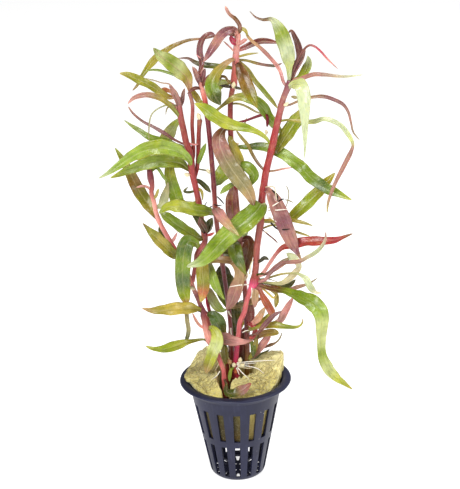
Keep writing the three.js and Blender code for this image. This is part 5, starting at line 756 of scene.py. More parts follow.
# Stage: lights as (name, place, size, watts)
WHITE = (1.0, 1.0, 1.0, 1.0)
FLOOR_REACH = 6.0
LIGHTS = [
    ("key_softbox", (-0.4, -0.85, 0.72), 0.45, 9.8),
    ("top_softbox", (0.35, 0.1, 1.05), 0.45, 7.5),
    ("right_softbox", (0.9, -0.35, 0.45), 0.35, 2.8),
]
LIT_PLACE = (0, 0, 0.11)
SKY_STRENGTH = 0.2


def linear(hexcode):
    channels = [(hexcode >> shift & 255) / 255 for shift in (16, 8, 0)]
    return np.array([c / 12.92 if c <= 0.04045 else ((c + 0.055) / 1.055) ** 2.4 for c in channels])


COLOURS = {name: linear(code) for name, code in PALETTE.items()}
WOOL, WOOL_LOBE, WET_WOOL, FIBRE_SHADE = (linear(code) for code in (0xE8DA82, 0xF4ECB0, 0x94824A, 0xB8A25C))


def rgba(name):
    return (*COLOURS[name], 1.0)


def unit(vectors):
    return vectors / np.maximum(np.linalg.norm(vectors, axis=-1, keepdims=True), 1e-9)


def smooth(t):
    return t * t * (3 - 2 * t)


def sighted(rows, reach=1.0):
    """Real places and widths of a sighted route."""
    foot = rows[0][2]
    last = []
    places = []
    widths = []
    for row in rows:
        last = [*row, *last[len(row):]]
        x, z, depth, width = last
        y = foot + reach * (depth - foot)
        nearer = y / EYE[1]
        places.append([x * (1 - nearer), y, z + (EYE[2] - z) * nearer])
        widths.append(width * (1 - nearer))
    return np.array(places), np.array(widths)


def hermite(t, start, end, start_slope, end_slope):
    """A cubic from start to end that leaves and arrives with the given slopes."""
    return (
        (2 * t**3 - 3 * t**2 + 1) * start + (t**3 - 2 * t**2 + t) * start_slope
        + (3 * t**2 - 2 * t**3) * end + (t**3 - t**2) * end_slope
    )


def eased(values, count):
    """Values at even shares between the given ones, with no overshoot between them."""
    steps = np.diff(values)
    before, after = steps[:-1], steps[1:]
    same_way = before * after > 0
    slopes = np.zeros(len(values))
    slopes[1:-1][same_way] = 2 * before[same_way] * after[same_way] / (before + after)[same_way]
    slopes[0], slopes[-1] = steps[0], steps[-1]
    share = np.linspace(0, len(values) - 1, count)
    step = np.minimum(share.astype(int), len(values) - 2)
    return hermite(share - step, values[step], values[step + 1], slopes[step], slopes[step + 1])


def curve(places, count):
    """Points of the centripetal Catmull-Rom curve at even shares of its rows, and its directions there."""
    padded = np.vstack([2 * places[0] - places[1], places, 2 * places[-1] - places[-2]])
    gaps = np.sqrt(np.linalg.norm(np.diff(padded, axis=0), axis=1))
    share = np.linspace(0, len(places) - 1, count)
    step = np.minimum(share.astype(int), len(places) - 2)
    t = (share - step)[:, None]
    p0, p1, p2, p3 = (padded[step + i] for i in range(4))
    g0, g1, g2 = (gaps[step + i][:, None] for i in range(3))
    start = ((p1 - p0) / g0 - (p2 - p0) / (g0 + g1) + (p2 - p1) / g1) * g1
    end = ((p2 - p1) / g1 - (p3 - p1) / (g1 + g2) + (p3 - p2) / g2) * g1
    along = (
        (6 * t**2 - 6 * t) * p1 + (3 * t**2 - 4 * t + 1) * start
        + (6 * t - 6 * t**2) * p2 + (3 * t**2 - 2 * t) * end
    )
    return hermite(t, p1, p2, start, end), unit(along)


def stations(route, spacing, fewest=4):
    """Close stations on a route: places, directions along, across and facing, widths and distance run."""
    places, widths = route
    length = np.linalg.norm(np.diff(places, axis=0), axis=1).sum()
    count = max(fewest, int(length / spacing) + 1)
    at, along = curve(places, count)
    across = unit(np.cross(along, EYE - at))
    face = np.cross(across, along)
    run = np.concatenate([[0], np.cumsum(np.linalg.norm(np.diff(at, axis=0), axis=1))])
    return at, along, across, face, eased(widths, count), run


def nearest_on(routes, point):
    """The place on a stem nearest to a point, with the stem's direction and width there."""
    found = []
    for places, widths in routes:
        count = SEARCH_DENSITY * len(places)
        at, along = curve(places, count)
        away = np.linalg.norm(at - point, axis=1)
        nearest = away.argmin()
        found.append((away[nearest], at[nearest], along[nearest], eased(widths, count)[nearest]))
    return min(found, key=lambda item: item[0])[1:]


def rooted(route, routes):
    """Starts a route on the stem's centreline."""
    places, widths = route
    start = nearest_on(routes, places[0])[0]
    return np.vstack([start, places[1:]]), widths


def beside(route, routes, gap):
    """Starts a route at the stem's surface, on the side that it leaves by."""
    places, widths = route
    at, along, width = nearest_on(routes, places[0])
    out = places[1] - at
    out = unit(out - along * out.dot(along))
    return np.vstack([at + out * (width / 2 + gap), places[1:]]), widths


class Surface:
    """Vertices with their colours, faces, and what the shaders read at each vertex."""

    def __init__(self):
        self.places = []
        self.faces = []
        self.tint = []
        self.rib = []
        self.grain = []

    def add(self, places, faces, tint, rib, grain):
        first = len(self.places)
        self.places.extend(map(tuple, places))
        self.faces.extend(tuple(first + corner for corner in face) for face in faces)
        self.tint.extend(map(tuple, tint))
        self.rib.extend(map(tuple, rib))
        self.grain.extend(map(tuple, grain))

    def piece(self, name, material, slot, *nodes):
        """A named object that rides on the root and stands for the given CAD nodes."""
        mesh = bpy.data.meshes.new(name)
        mesh.from_pydata([tuple(v * MM for v in place) for place in self.places], [], self.faces)
        for title, rows in (("tint", self.tint), ("rib", self.rib)):
            layer = mesh.attributes.new(title, "FLOAT_COLOR", "POINT")
            layer.data.foreach_set("color", [value for row in rows for value in (*row, 1.0)])
        layer = mesh.attributes.new("grain", "FLOAT_VECTOR", "POINT")
        layer.data.foreach_set("vector", [value for row in self.grain for value in row])
        mesh.validate()
        mesh.polygons.foreach_set("use_smooth", [True] * len(mesh.polygons))
        mesh.update()
        made = bpy.data.objects.new(name, mesh)
        bpy.context.scene.collection.objects.link(made)
        made.data.materials.append(material)
        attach(made, "root")
        if nodes:
            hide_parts(*nodes)
        return made


def ring_quads(rings, sides):
    """Quads between rings of equal length."""
    quads = []
    for low in range(0, (rings - 1) * sides, sides):
        high = low + sides
        for side in range(sides):
            after = (side + 1) % sides
            quads.append((low + side, low + after, high + after, high + side))
    return quads


def ring_faces(rings, sides):
    """Quads between rings of equal length, a cap on the first ring and a fan to the tip point."""
    last = (rings - 1) * sides
    fan = [(last + side, last + (side + 1) % sides, rings * sides) for side in range(sides)]
    return [tuple(range(sides - 1, -1, -1)), *ring_quads(rings, sides), *fan]


def ringed(values, sides):
    """A value for each corner of each ring, from one for each ring and the tip."""
    return np.vstack([np.repeat(values[:-1, None], sides, axis=1).reshape(-1, 3), values[-1]])


def ringed_grain(run, first, second):
    """What the shaders read at each corner: the distance run, and two values that are 0 at the tip."""
    rings = np.stack(np.broadcast_arrays(run[:-1, None], first, second), axis=-1).reshape(-1, 3)
    return np.vstack([rings, [run[-1], 0, 0]])


def looked_up(look, count):
    """Colours from base to tip, and the midrib's, of a look."""
    body, _, rib = look.partition("|")
    words = np.array([COLOURS[word] for word in body.split()])
    if len(words) == 1:
        words = np.vstack([words, words])
    share = np.linspace(0, len(words) - 1, count)
    step = np.minimum(share.astype(int), len(words) - 2)
    t = smooth((share - step)[:, None])
    body_tint = words[step] * (1 - t) + words[step + 1] * t
    plain_rib = RIB_CREAM * COLOURS["cream"] + (1 - RIB_CREAM) * words.mean(axis=0)
    rib_tint = COLOURS[rib.strip()] if rib else plain_rib
    return body_tint, np.tile(rib_tint, (count, 1))


def rippled(u, half, run, wave, phases, pitch):
    """How far a waved blade lifts, more toward the margin and away from the base."""
    swing = wave * half[:, None] * np.minimum(1, run[:, None] / WAVE_BEGINS_OVER)
    turned = TURN * run[:, None] / pitch + np.where(u < 0, phases[0], phases[1])
    finer = TURN * run[:, None] / (FINE_PITCH * pitch) + phases[2] + 2 * u
    return swing * np.abs(u) ** 2 * np.sin(turned) + FINE_WAVE * swing * np.abs(u) * np.sin(finer)


def grow_leaf(surface, route, look, opened, fold, spacing, across_steps, wave, draw):
    """A thin blade with a folded midrib and a waved margin, closed all round."""
    at, _, across, face, width, run = stations(route, spacing, FEWEST_LEAF_RINGS)
    roll = np.radians(opened) * across[:, 2:]
    across, face = across * np.cos(roll) - face * np.sin(roll), face * np.cos(roll) + across * np.sin(roll)
    half = np.maximum(width / 2 / np.maximum(np.cos(roll[:, 0]), NARROWEST_VIEW), LEAST_HALF_WIDTH)
    phases = [draw.uniform(0, TURN) for _ in range(4)]
    pitch = draw.uniform(*WAVE_PITCH)
    shade = 1 + draw.uniform(-SHADE_VARIES, SHADE_VARIES)

    u = np.linspace(-1, 1, across_steps)
    crease = CREASE * fold * half[:, None] * np.abs(u) ** CREASE_POWER
    lift = crease + rippled(u, half, run, wave, phases, pitch)
    midrib = np.minimum(LEAF_THICKNESS, THICKNESS_TO_WIDTH * width)[:, None]
    thick = midrib * (1 - MARGIN_THINNING * np.abs(u))
    groove = GROOVE_DEPTH * thick * np.exp(-((u * half[:, None] / GROOVE_HALF_WIDTH) ** 2))
    middle = at[:, None] + across[:, None] * (u * half[:, None])[..., None]
    top = middle + face[:, None] * (lift + thick / 2 - groove)[..., None]
    bottom = middle + face[:, None] * (lift - thick / 2 - groove)[..., None]
    rings = np.concatenate([top, bottom[:, ::-1]], axis=1)[:-1]
    places = np.vstack([rings.reshape(-1, 3), at[-1]])

    body_tint, rib_tint = looked_up(look, len(at))
    rosy = np.interp(phases[3], (0, TURN), UNDERSIDE_ROSE)
    under = rosy * COLOURS["rose"] + (1 - rosy) * body_tint
    both = [np.repeat(side[:, None], across_steps, axis=1) for side in (body_tint, under)]
    tint = np.vstack([np.concatenate(both, axis=1)[:-1].reshape(-1, 3), body_tint[-1]]) * shade
    sides = 2 * across_steps
    shares = np.concatenate([u, u[::-1]])
    grain = ringed_grain(run, shares * half[:-1, None], shares + 0 * half[:-1, None])
    surface.add(places, ring_faces(len(at) - 1, sides), tint, ringed(rib_tint, sides), grain)


def grow_tube(surface, route, tints, sides, spacing, knots=(), ridge=0.0):
    """A round stem, root or bud with a closed base and a pointed end, swollen where leaves leave it."""
    at, along, across, face, width, run = stations(route, spacing)
    tints = np.broadcast_to(tints, (len(at), 3))
    swell = np.ones(len(at))
    for knot in knots:
        away = np.linalg.norm(at - knot, axis=1)
        swell = np.maximum(swell, 1 + KNOT_SWELL * np.exp(-((away / KNOT_REACH) ** 2)))
    turn = np.arange(sides) * TURN / sides
    wobble = 1
    for count, twist in RIDGES:
        wobble = wobble + ridge * np.sin(count * turn + twist * run[:, None])
    radius = width[:, None] / 2 * swell[:, None] * wobble
    out = across[:, None] * np.cos(turn)[:, None] + face[:, None] * np.sin(turn)[:, None]
    rings = (at[:, None] + out * radius[..., None])[:-1]
    places = np.vstack([rings.reshape(-1, 3), at[-1] + along[-1] * width[-1] / 2])
    tint = ringed(tints, sides)
    grain = ringed_grain(run, np.cos(turn), np.sin(turn))
    surface.add(places, ring_faces(len(at) - 1, sides), tint, tint, grain)


def tinted(route, spacing, tints):
    """Colours at a route's stations by their height, from [height, colour name] stops."""
    at = stations(route, spacing)[0]
    heights = [height for height, _ in tints]
    stops = np.array([COLOURS[word] for _, word in tints])
    return np.stack([np.interp(at[:, 2], heights, stops[:, i]) for i in range(3)], axis=-1)


class Shader:
    """A material's node tree, built up one node at a time."""

    def __init__(self, name):
        self.material = bpy.data.materials.new(name)
        self.material.use_nodes = True
        self.nodes = self.material.node_tree.nodes
        self.links = self.material.node_tree.links
        self.nodes.clear()
        self.place = self.add("TexCoord", {}).outputs["Object"]

    def add(self, kind, inputs, **settings):
        node = self.nodes.new("ShaderNode" + kind)
        for title, value in settings.items():
            setattr(node, title, value)
        for title, value in inputs.items():
            if isinstance(value, bpy.types.NodeSocket):
                self.links.new(value, node.inputs[title])
            else:
                node.inputs[title].default_value = value
        return node

    def colour_of(self, name):
        return self.add("Attribute", {}, attribute_name=name).outputs["Color"]

    def grain(self):
        """The distance run along the piece, and two values across it."""
        vector = self.add("Attribute", {}, attribute_name="grain").outputs["Vector"]
        return self.add("SeparateXYZ", {0: vector}).outputs

    def maths(self, operation, *values):
        return self.add("Math", dict(enumerate(values)), operation=operation).outputs[0]

    def times(self, value, factor):
        return self.maths("MULTIPLY", value, factor)

    def plus(self, first, second):
        return self.maths("ADD", first, second)

    def joined(self, *values):
        return self.add("CombineXYZ", dict(enumerate(values))).outputs[0]

    def mapped(self, place, scale):
        return self.add("Mapping", {"Vector": place, "Scale": scale}).outputs[0]

    def mix(self, share, first, second):
        node = self.add("Mix", {0: share, 6: first, 7: second}, data_type="RGBA", blend_type="MIX")
        return node.outputs[2]

    def noise(self, scale, detail=3.0, roughness=0.55, place=None, output="Fac"):
        inputs = {"Vector": place or self.place, "Scale": scale, "Detail": detail, "Roughness": roughness}
        return self.add("TexNoise", inputs).outputs[output]

    def ramp(self, value, low, high, to_low=0.0, to_high=1.0):
        inputs = {"Value": value, "From Min": low, "From Max": high, "To Min": to_low, "To Max": to_high}
        return self.add("MapRange", inputs, interpolation_type="SMOOTHSTEP").outputs[0]

    def stained(self, tint, *stains):
        """The tint under stains, each as (value, where it begins, where it is full, most, share, colour)."""
        colour = tint
        for value, begins, full, most, share, name in stains:
            stain = self.ramp(value, begins, full, 0.0, most)
            colour = self.mix(stain, colour, self.mix(share, tint, rgba(name)))
        return colour

    def bump(self, height, strength, distance, normal=None):
        inputs = {"Height": height, "Strength": strength, "Distance": distance}
        if normal:
            inputs["Normal"] = normal
        return self.add("Bump", inputs).outputs[0]

    def finish(self, **inputs):
        """The surface shader. Its inputs are given with underscores for spaces."""
        principled = self.add("BsdfPrincipled", {title.replace("_", " "): v for title, v in inputs.items()})
        output = self.add("OutputMaterial", {"Surface": principled.outputs[0]})
        output.is_active_output = True
        return self.material


def leaf_material():
    s = Shader("alternanthera_leaf")
    tint, rib = s.colour_of("tint"), s.colour_of("rib")
    run, side, share = s.grain()
    away = s.maths("ABSOLUTE", side)
    blotch = s.noise(scale=210.0, detail=4.0, roughness=0.6)
    fleck = s.noise(scale=1500.0, detail=2.0)
    drift = s.times(s.noise(scale=14.0, detail=1.0), 12.0)
    strand = s.joined(s.times(run, 0.11), side, drift)
    line = s.noise(scale=1.5, detail=3.0, roughness=0.6, place=strand)
    colour = s.stained(
        tint, (blotch, 0.38, 0.68, 0.5, 0.6, "dark"), (blotch, 0.5, 0.25, 0.35, 0.5, "yellow"),
        (line, 0.48, 0.3, 0.5, 0.7, "dark"), (line, 0.52, 0.7, 0.25, 0.5, "cream"),
        (fleck, 0.55, 0.75, 0.22, 0.5, "cream"),
    )
    slant = s.maths("SUBTRACT", run, s.times(away, 1.1))
    bent = s.plus(slant, s.times(blotch, 1.5))
    vein = s.ramp(s.maths("ABSOLUTE", s.maths("SINE", s.times(bent, 1.35))), 0.22, 0.0)
    midrib = s.ramp(away, 0.36, 0.1)
    colour = s.mix(s.times(vein, 0.1), colour, rib)
    colour = s.mix(s.times(midrib, 0.22), colour, rib)
    margin = s.ramp(s.maths("ABSOLUTE", share), 0.82, 1.0, 0.0, 0.25)
    colour = s.mix(margin, colour, rgba("bronze"))
    relief = s.plus(s.times(vein, -0.6), s.times(midrib, -0.8))
    relief = s.plus(relief, s.times(blotch, 0.9))
    relief = s.plus(relief, s.times(line, 0.8))
    normal = s.bump(fleck, 0.25, 0.0001, s.bump(relief, 0.5, 0.0003))
    roughness = s.ramp(blotch, 0.3, 0.7, 0.2, 0.38)
    return s.finish(
        Base_Color=colour, Roughness=roughness, Normal=normal, Subsurface_Weight=0.12,
        Subsurface_Scale=0.0008, Subsurface_Radius=(1.0, 0.9, 0.3), Specular_IOR_Level=0.36,
        Coat_Weight=0.2, Coat_Roughness=0.18, IOR=1.45,
    )


def stem_material():
    s = Shader("alternanthera_stem")
    tint = s.colour_of("tint")
    run, out, side = s.grain()
    strand = s.joined(s.times(run, 0.07), out, side)
    streak = s.noise(scale=3.2, detail=4.0, roughness=0.6, place=strand)
    blotch = s.noise(scale=260.0)
    colour = s.stained(
        tint, (streak, 0.45, 0.66, 0.65, 0.6, "wine"), (streak, 0.45, 0.27, 0.5, 0.6, "salmon"),
        (blotch, 0.52, 0.72, 0.5, 0.6, "tan"), (blotch, 0.42, 0.25, 0.4, 0.6, "umber"),
    )
    normal = s.bump(s.noise(scale=1400.0, detail=2.0), 0.3, 0.0001, s.bump(streak, 0.6, 0.0004))
    return s.finish(
        Base_Color=colour, Roughness=s.ramp(blotch, 0.3, 0.7, 0.25, 0.45), Normal=normal,
        Subsurface_Weight=0.25, Subsurface_Scale=0.0012, Subsurface_Radius=(1.0, 0.4, 0.3),
        Coat_Weight=0.25, Coat_Roughness=0.25, IOR=1.45,
    )


def root_material():
    s = Shader("root")
    speck = s.noise(scale=900.0)
    colour = s.stained(s.colour_of("tint"), (speck, 0.5, 0.75, 0.2, 0.5, "tan"))
    return s.finish(
        Base_Color=colour, Roughness=s.ramp(speck, 0.3, 0.7, 0.3, 0.5), Normal=s.bump(speck, 0.3, 0.0001),
        Specular_IOR_Level=0.25, Subsurface_Weight=0.3, Subsurface_Scale=0.0006,
        Subsurface_Radius=(1.0, 0.8, 0.6),
    )


def wool_material(name, lighter):
    s = Shader(name)
    lump = s.noise(scale=160.0, detail=4.0, roughness=0.6)
    bend = s.noise(scale=120.0, output="Color")
    bent = s.add("Mix", {0: 0.014, 4: s.place, 5: bend}, data_type="VECTOR").outputs[1]
    hair, cross = (
        s.noise(scale=620.0, detail=3.0, roughness=0.7, place=s.mapped(bent, stretch))
        for stretch in ((2.6, 0.5, 1.6), (0.5, 2.4, 2.2))
    )
    fibre = s.maths("MAXIMUM", hair, cross)
    colour = s.stained(
        s.colour_of("tint"), (lump, 0.45, 0.7, 0.45, 0.5, "bronze"),
        (fibre, 0.5, 0.75, lighter, 0.2, "cream"), (fibre, 0.5, 0.38, 0.28, 0.6, "bronze"),
    )
    normal = s.bump(lump, 0.5, 0.0012, s.bump(fibre, 0.6, 0.0006))
    return s.finish(
        Base_Color=colour, Roughness=0.82, Normal=normal, Specular_IOR_Level=0.2, Sheen_Weight=0.06,
        Sheen_Roughness=0.5, Subsurface_Weight=0.15, Subsurface_Scale=0.0015,
        Subsurface_Radius=(1.0, 0.85, 0.5),
    )


def pot_material():
    s = Shader("moulded_slate_plastic")
    height = s.add("SeparateXYZ", {0: s.place}).outputs[2]
    haze = s.noise(scale=90.0, detail=4.0, roughness=0.6)
    drawn = s.noise(scale=520.0, place=s.mapped(s.place, (1.0, 1.0, 0.18)))
    grit = s.noise(scale=2600.0, detail=2.0)
    speck = s.ramp(s.noise(scale=700.0, detail=1.0), 0.77, 0.81, 0.0, 0.5)
    base = s.mix(s.ramp(haze, 0.3, 0.7), SLATE, WORN_SLATE)
    # Painted highlight: the rim and lip above 46.5 mm are made lighter, as if lit from above
    base = s.mix(s.ramp(height, 0.0465, 0.05, 0.0, 0.6), base, LIP_HIGHLIGHT_SLATE)
    base = s.mix(s.ramp(drawn, 0.55, 0.8, 0.0, 0.35), base, STREAK_SLATE)
    base = s.mix(speck, base, DUST)
    normal = s.bump(drawn, 0.25, 0.0002, s.bump(grit, 0.18, 0.0001))
    return s.finish(
        Base_Color=base, Roughness=s.ramp(haze, 0.3, 0.7, 0.36, 0.5), Normal=normal, IOR=1.5,
        Specular_IOR_Level=0.32,
    )


def slot_half_angle(slot, level, radius):
    bottom, top, narrow, wide = slot
    share = min(1, max(0, (level - bottom) / (top - bottom)))
    return math.asin((narrow + (wide - narrow) * share) / 2 / radius)


def opening_half_angle(radius, level):
    """Half the angle that the opening of a sector takes at a row, or would take if it reached there."""
    if radius < FLOOR_EDGE:
        hole = OUTER_HOLE if radius > INNER_HOLE[1] else INNER_HOLE
        across = max(radius, hole[0])
        return min(slot_half_angle(hole, across, across), WIDEST_HOLE * SECTOR)
    return slot_half_angle(UPPER_SLOT if level >= BETWEEN_SLOTS else LOWER_SLOT, level, radius)


def pot_ring(radius, level):
    """Each sector has three columns across its opening, and then those of the rib up to the next one."""
    half = opening_half_angle(radius, level)
    turns = []
    for slot in range(SLOTS):
        middle = slot * SECTOR - math.pi / 2
        turns += [middle - half, middle, middle + half]
        turns += [middle + half + (SECTOR - 2 * half) * i / RIB_STEPS for i in range(1, RIB_STEPS)]
    return [(radius * math.cos(t), radius * math.sin(t), level) for t in turns]


def pot_openings(rows):
    """The openings: the rows outside, the rows inside, and 1 in every sector or 2 in every second one."""
    outer_rows = range(len(FLOOR_ROWS), len(FLOOR_ROWS) + len(POT_OUTER))
    inner_rows = range(outer_rows.stop, outer_rows.stop + len(POT_INNER))
    openings = []
    for bottom, top, *_ in (UPPER_SLOT, LOWER_SLOT):
        outer, inner = ([i for i in side if bottom <= rows[i][1] <= top] for side in (outer_rows, inner_rows))
        openings.append((outer, inner[::-1], 1))
    for (inside, outside, *_), every in ((OUTER_HOLE, 1), (INNER_HOLE, 2)):
        lower = [i for i in range(len(FLOOR_ROWS)) if inside <= rows[i][0] <= outside]
        openings.append((lower, [len(rows) - 1 - i for i in lower], every))
    return openings


def opening_walls(near, far, left):
    """The faces that line an opening, as corners (row, column)."""
    right = left + 2
    walls = []
    for a, b, c, d in zip(near, near[1:], far, far[1:]):
        walls.append([(a, left), (b, left), (d, left), (c, left)])
        walls.append([(b, right), (a, right), (c, right), (d, right)])
    for column in (left, left + 1):
        after = column + 1
        walls.append([(near[0], after), (near[0], column), (far[0], column), (far[0], after)])
        walls.append([(near[-1], column), (near[-1], after), (far[-1], after), (far[-1], column)])
    return walls


def build_pot():
    """The wall as rows of rings, from the middle of the base round the lip to the middle of the floor."""
    rows = [(radius, 0.0) for radius in reversed(FLOOR_ROWS)] + POT_OUTER + POT_INNER
    rows += [(radius, FLOOR_THICKNESS) for radius in FLOOR_ROWS]
    places = [place for radius, level in rows for place in pot_ring(radius, level)]
    around = SECTOR_COLUMNS * SLOTS
    quads = []
    closed = set()
    for near, far, every in pot_openings(rows):
        for slot in range(every - 1, SLOTS, every):
            left = slot * SECTOR_COLUMNS
            quads += opening_walls(near, far, left)
            closed.update((row, column) for row in near[:-1] + far[1:] for column in (left, left + 1))
    for row in range(len(rows) - 1):
        for column in range(around):
            if (row, column) not in closed:
                quads.append([(row, column), (row, column + 1), (row + 1, column + 1), (row + 1, column)])
    faces = [tuple(row * around + column % around for row, column in quad) for quad in quads]
    centre = len(places)
    last = (len(rows) - 1) * around
    places += [(0, 0, 0.0), (0, 0, FLOOR_THICKNESS)]
    for column in range(around):
        after = (column + 1) % around
        faces.append((after, column, centre))
        faces.append((last + column, last + after, centre + 1))
    surface = Surface()
    white = [(1, 1, 1)] * len(places)
    surface.add(places, faces, white, white, places)
    made = surface.piece("slotted_pot", pot_material(), "pot_plastic", "net_pot")
    rounding = made.modifiers.new("rounding", "BEVEL")
    rounding.width = POT_ROUNDING
    rounding.segments = 2
    rounding.limit_method = "ANGLE"
    rounding.angle_limit = math.radians(40)
    rounding.harden_normals = True


def wool_edge(degrees):
    """Radius and height of the wool's upper edge in one direction."""
    for (start, *low), (end, *high) in zip(WOOL_EDGE, WOOL_EDGE[1:]):
        if degrees <= end:
            t = smooth((degrees - start) / (end - start))
            return [a + (b - a) * t for a, b in zip(low, high)]
    return WOOL_EDGE[-1][1:]


def pit_depth(x, y):
    """How far inside the pit's outline a place is, negative outside it."""
    inside = False
    nearest = math.inf
    for (ax, ay), (bx, by) in zip(PIT_OUTLINE, PIT_OUTLINE[1:] + PIT_OUTLINE[:1]):
        if (ay > y) != (by > y) and x < ax + (y - ay) * (bx - ax) / (by - ay):
            inside = not inside
        length = (bx - ax) ** 2 + (by - ay) ** 2
        t = min(1, max(0, ((x - ax) * (bx - ax) + (y - ay) * (by - ay)) / length))
        nearest = min(nearest, math.hypot(x - ax - t * (bx - ax), y - ay - t * (by - ay)))
    return nearest if inside else -nearest


def wool_line(degrees):
    """The wool in one direction as (radius, height), from its bottom over its upper edge to its middle."""
    radius, height = wool_edge(degrees)
    lobe = height > LOBE_HEIGHT
    line = []
    for (r0, z0), (r1, z1) in zip(WOOL_SIDE, WOOL_SIDE[1:]):
        for i in range(WOOL_SIDE_STEPS):
            r, z = (a + (b - a) * i / WOOL_SIDE_STEPS for a, b in ((r0, r1), (z0, z1)))
            line.append((min(r, radius), min(z, height - 1)))
    line.append((radius if lobe else min(radius, INSIDE_LIP), min(RIM_HEIGHT, height - 0.5)))
    out, up = EDGE_ROUNDING
    rim = min(radius, LOBE_REACH if lobe else INSIDE_LIP) - out
    line += [(rim + out * math.cos(a), height - up + up * math.sin(a)) for a in EDGE_TURNS]
    for i in range(1, WOOL_TOP_STEPS + 1):
        share = 1 - i / WOOL_TOP_STEPS
        level = WOOL_CENTRE_HEIGHT + (height - WOOL_CENTRE_HEIGHT) * share * share
        line.append((rim * share, level + WOOL_CROWN * share * (1 - share)))
    return line


def weather(spot):
    """Moves a place on the wool by its lumps, and down to the pit's floor where the stems stand."""
    x, y, z = spot
    coarse, middling, fine = (noise.noise(Vector((x, y, z)) * scale) for scale in LUMP_SCALES)
    lump = coarse + MIDDLING_SHARE * middling
    above = min(1, max(0, (z - LOOSE_ABOVE) / LOOSE_OVER))
    spot[:2] *= 1 + (SIDE_LUMPS[0] * lump + SIDE_LUMPS[1] * fine) * (TIGHT_SIDE + above)
    depth = pit_depth(x, y)
    if z > PIT_FLOOR and depth > -PIT_RIM:
        t = smooth(min(1, (depth + PIT_RIM) / PIT_SLOPE))
        spot[2] = z + (PIT_FLOOR + PIT_UNEVENNESS * lump - z) * t
        if spot[2] < LIP_BOTTOM:
            within = PIT_WALL[0] + PIT_WALL[1] * (spot[2] - WOOL_BOTTOM)
            spot[:2] *= min(1, within / max(0.01, math.hypot(x, y)))
    elif above > 0:
        spot[2] += above * (TOP_LUMPS[0] * lump + TOP_LUMPS[1] * fine - TOP_SINKS)


def wool_rings():
    """The wool's surface as rings from its bottom edge, over its upper edge, to its middle."""
    degrees = np.arange(WOOL_DIRECTIONS) * 360 / WOOL_DIRECTIONS
    turned = np.radians(degrees)
    radius, height = np.array([wool_line(direction) for direction in degrees]).transpose(2, 1, 0)
    grid = np.stack([radius * np.cos(turned), radius * np.sin(turned), height], axis=-1)
    for row in grid:
        for spot in row:
            weather(spot)
    return grid


def wool_tint(places):
    x, _, height = np.hsplit(places, 3)
    up = np.clip((height - PALE_ABOVE) / PALE_OVER, 0, 1)
    down = np.clip((WET_BELOW - height) / WET_OVER, 0, 1)
    # Painted shade: the wool below the lip toward the left is darkened as if in the pot's shadow
    dark = np.clip((PAINTED_SHADE_LEFT_OF - x) / PAINTED_SHADE_LEFT_OF, 0, 1) * np.clip((PAINTED_SHADE_BELOW - height) / PAINTED_SHADE_OVER, 0, 1)
    tint = WOOL * (1 - up) + WOOL_LOBE * up
    tint = tint * (1 - down) + WET_WOOL * down
    return tint * (1 - DEEPEST_PAINTED_SHADE * dark)


def build_wool():
    grid = wool_rings()
    rows = len(grid)
    places = np.vstack([grid.reshape(-1, 3), grid[-1].mean(axis=0), [0, 0, WOOL_BOTTOM]])
    faces = ring_quads(rows, WOOL_DIRECTIONS)
    top, bottom = len(places) - 2, len(places) - 1
    last = (rows - 1) * WOOL_DIRECTIONS
    for column in range(WOOL_DIRECTIONS):
        after = (column + 1) % WOOL_DIRECTIONS
        faces.append((last + column, last + after, top))
        faces.append((after, column, bottom))
    surface = Surface()
    tint = wool_tint(places)
    surface.add(places, faces, tint, tint, places)
    surface.piece("fibrous_rock_wool", wool_material("wet_rock_wool", 0.7), "rock_wool", "rock_wool")
    build_fibres(grid)


def fibre_points(grid, outward, draw):
    """A loose fibre that wanders over the wool, a little above it."""
    rows = len(grid)
    row = draw.uniform(FIRST_FIBRE_ROW + 2, rows - 4)
    column = draw.uniform(0, WOOL_DIRECTIONS)
    heading = draw.uniform(0, TURN)
    lift = draw.uniform(*FIBRE_LIFT)
    points = []
    for _ in range(draw.randint(*FIBRE_STEPS)):
        row = min(rows - 3.001, max(FIRST_FIBRE_ROW, row))
        i, j = int(row), int(column) % WOOL_DIRECTIONS
        k = (j + 1) % WOOL_DIRECTIONS
        a, b = row - i, column - math.floor(column)
        spot = (grid[i, j] * (1 - a) + grid[i + 1, j] * a) * (1 - b)
        spot = spot + (grid[i, k] * (1 - a) + grid[i + 1, k] * a) * b
        points.append(spot + outward[i, j] * lift)
        heading += draw.uniform(-FIBRE_TURN, FIBRE_TURN)
        outer = max(LEAST_OUTER, math.hypot(*spot[:2]) / WOOL_RADIUS)
        row += FIBRE_REACH[0] * math.sin(heading)
        column += FIBRE_REACH[1] * math.cos(heading) / outer
        lift = max(FIBRE_LIFT[0], lift + draw.uniform(-FIBRE_LIFT_STEP, FIBRE_LIFT_STEP))
    return np.array(points)


def build_fibres(grid):
    draw = random.Random(FIBRE_SEED)
    outward = unit(np.cross(np.roll(grid, -1, axis=1) - grid, np.gradient(grid, axis=0)))
    hairs = Surface()
    for _ in range(FIBRES):
        points = fibre_points(grid, outward, draw)
        if np.linalg.norm(np.diff(points, axis=0), axis=1).max() > LONGEST_FIBRE_STEP:
            continue
        widths = np.full(len(points), draw.uniform(*FIBRE_WIDTH))
        pale = draw.random() < PALE_FIBRES
        colour = WOOL_LOBE * draw.uniform(*PALE_TONES) if pale else FIBRE_SHADE * draw.uniform(*DULL_TONES)
        grow_tube(hairs, (points, widths), colour, FIBRE_SIDES, FIBRE_SPACING)
    hairs.piece("wool_fibres", wool_material("dry_wool_fibre", 0.5), "rock_wool")


def leaf_slot(look):
    words = look.partition("|")[0].split()
    middle = words[len(words) // 2]
    return next(slot for slot, names in LEAF_SLOTS.items() if middle in names)


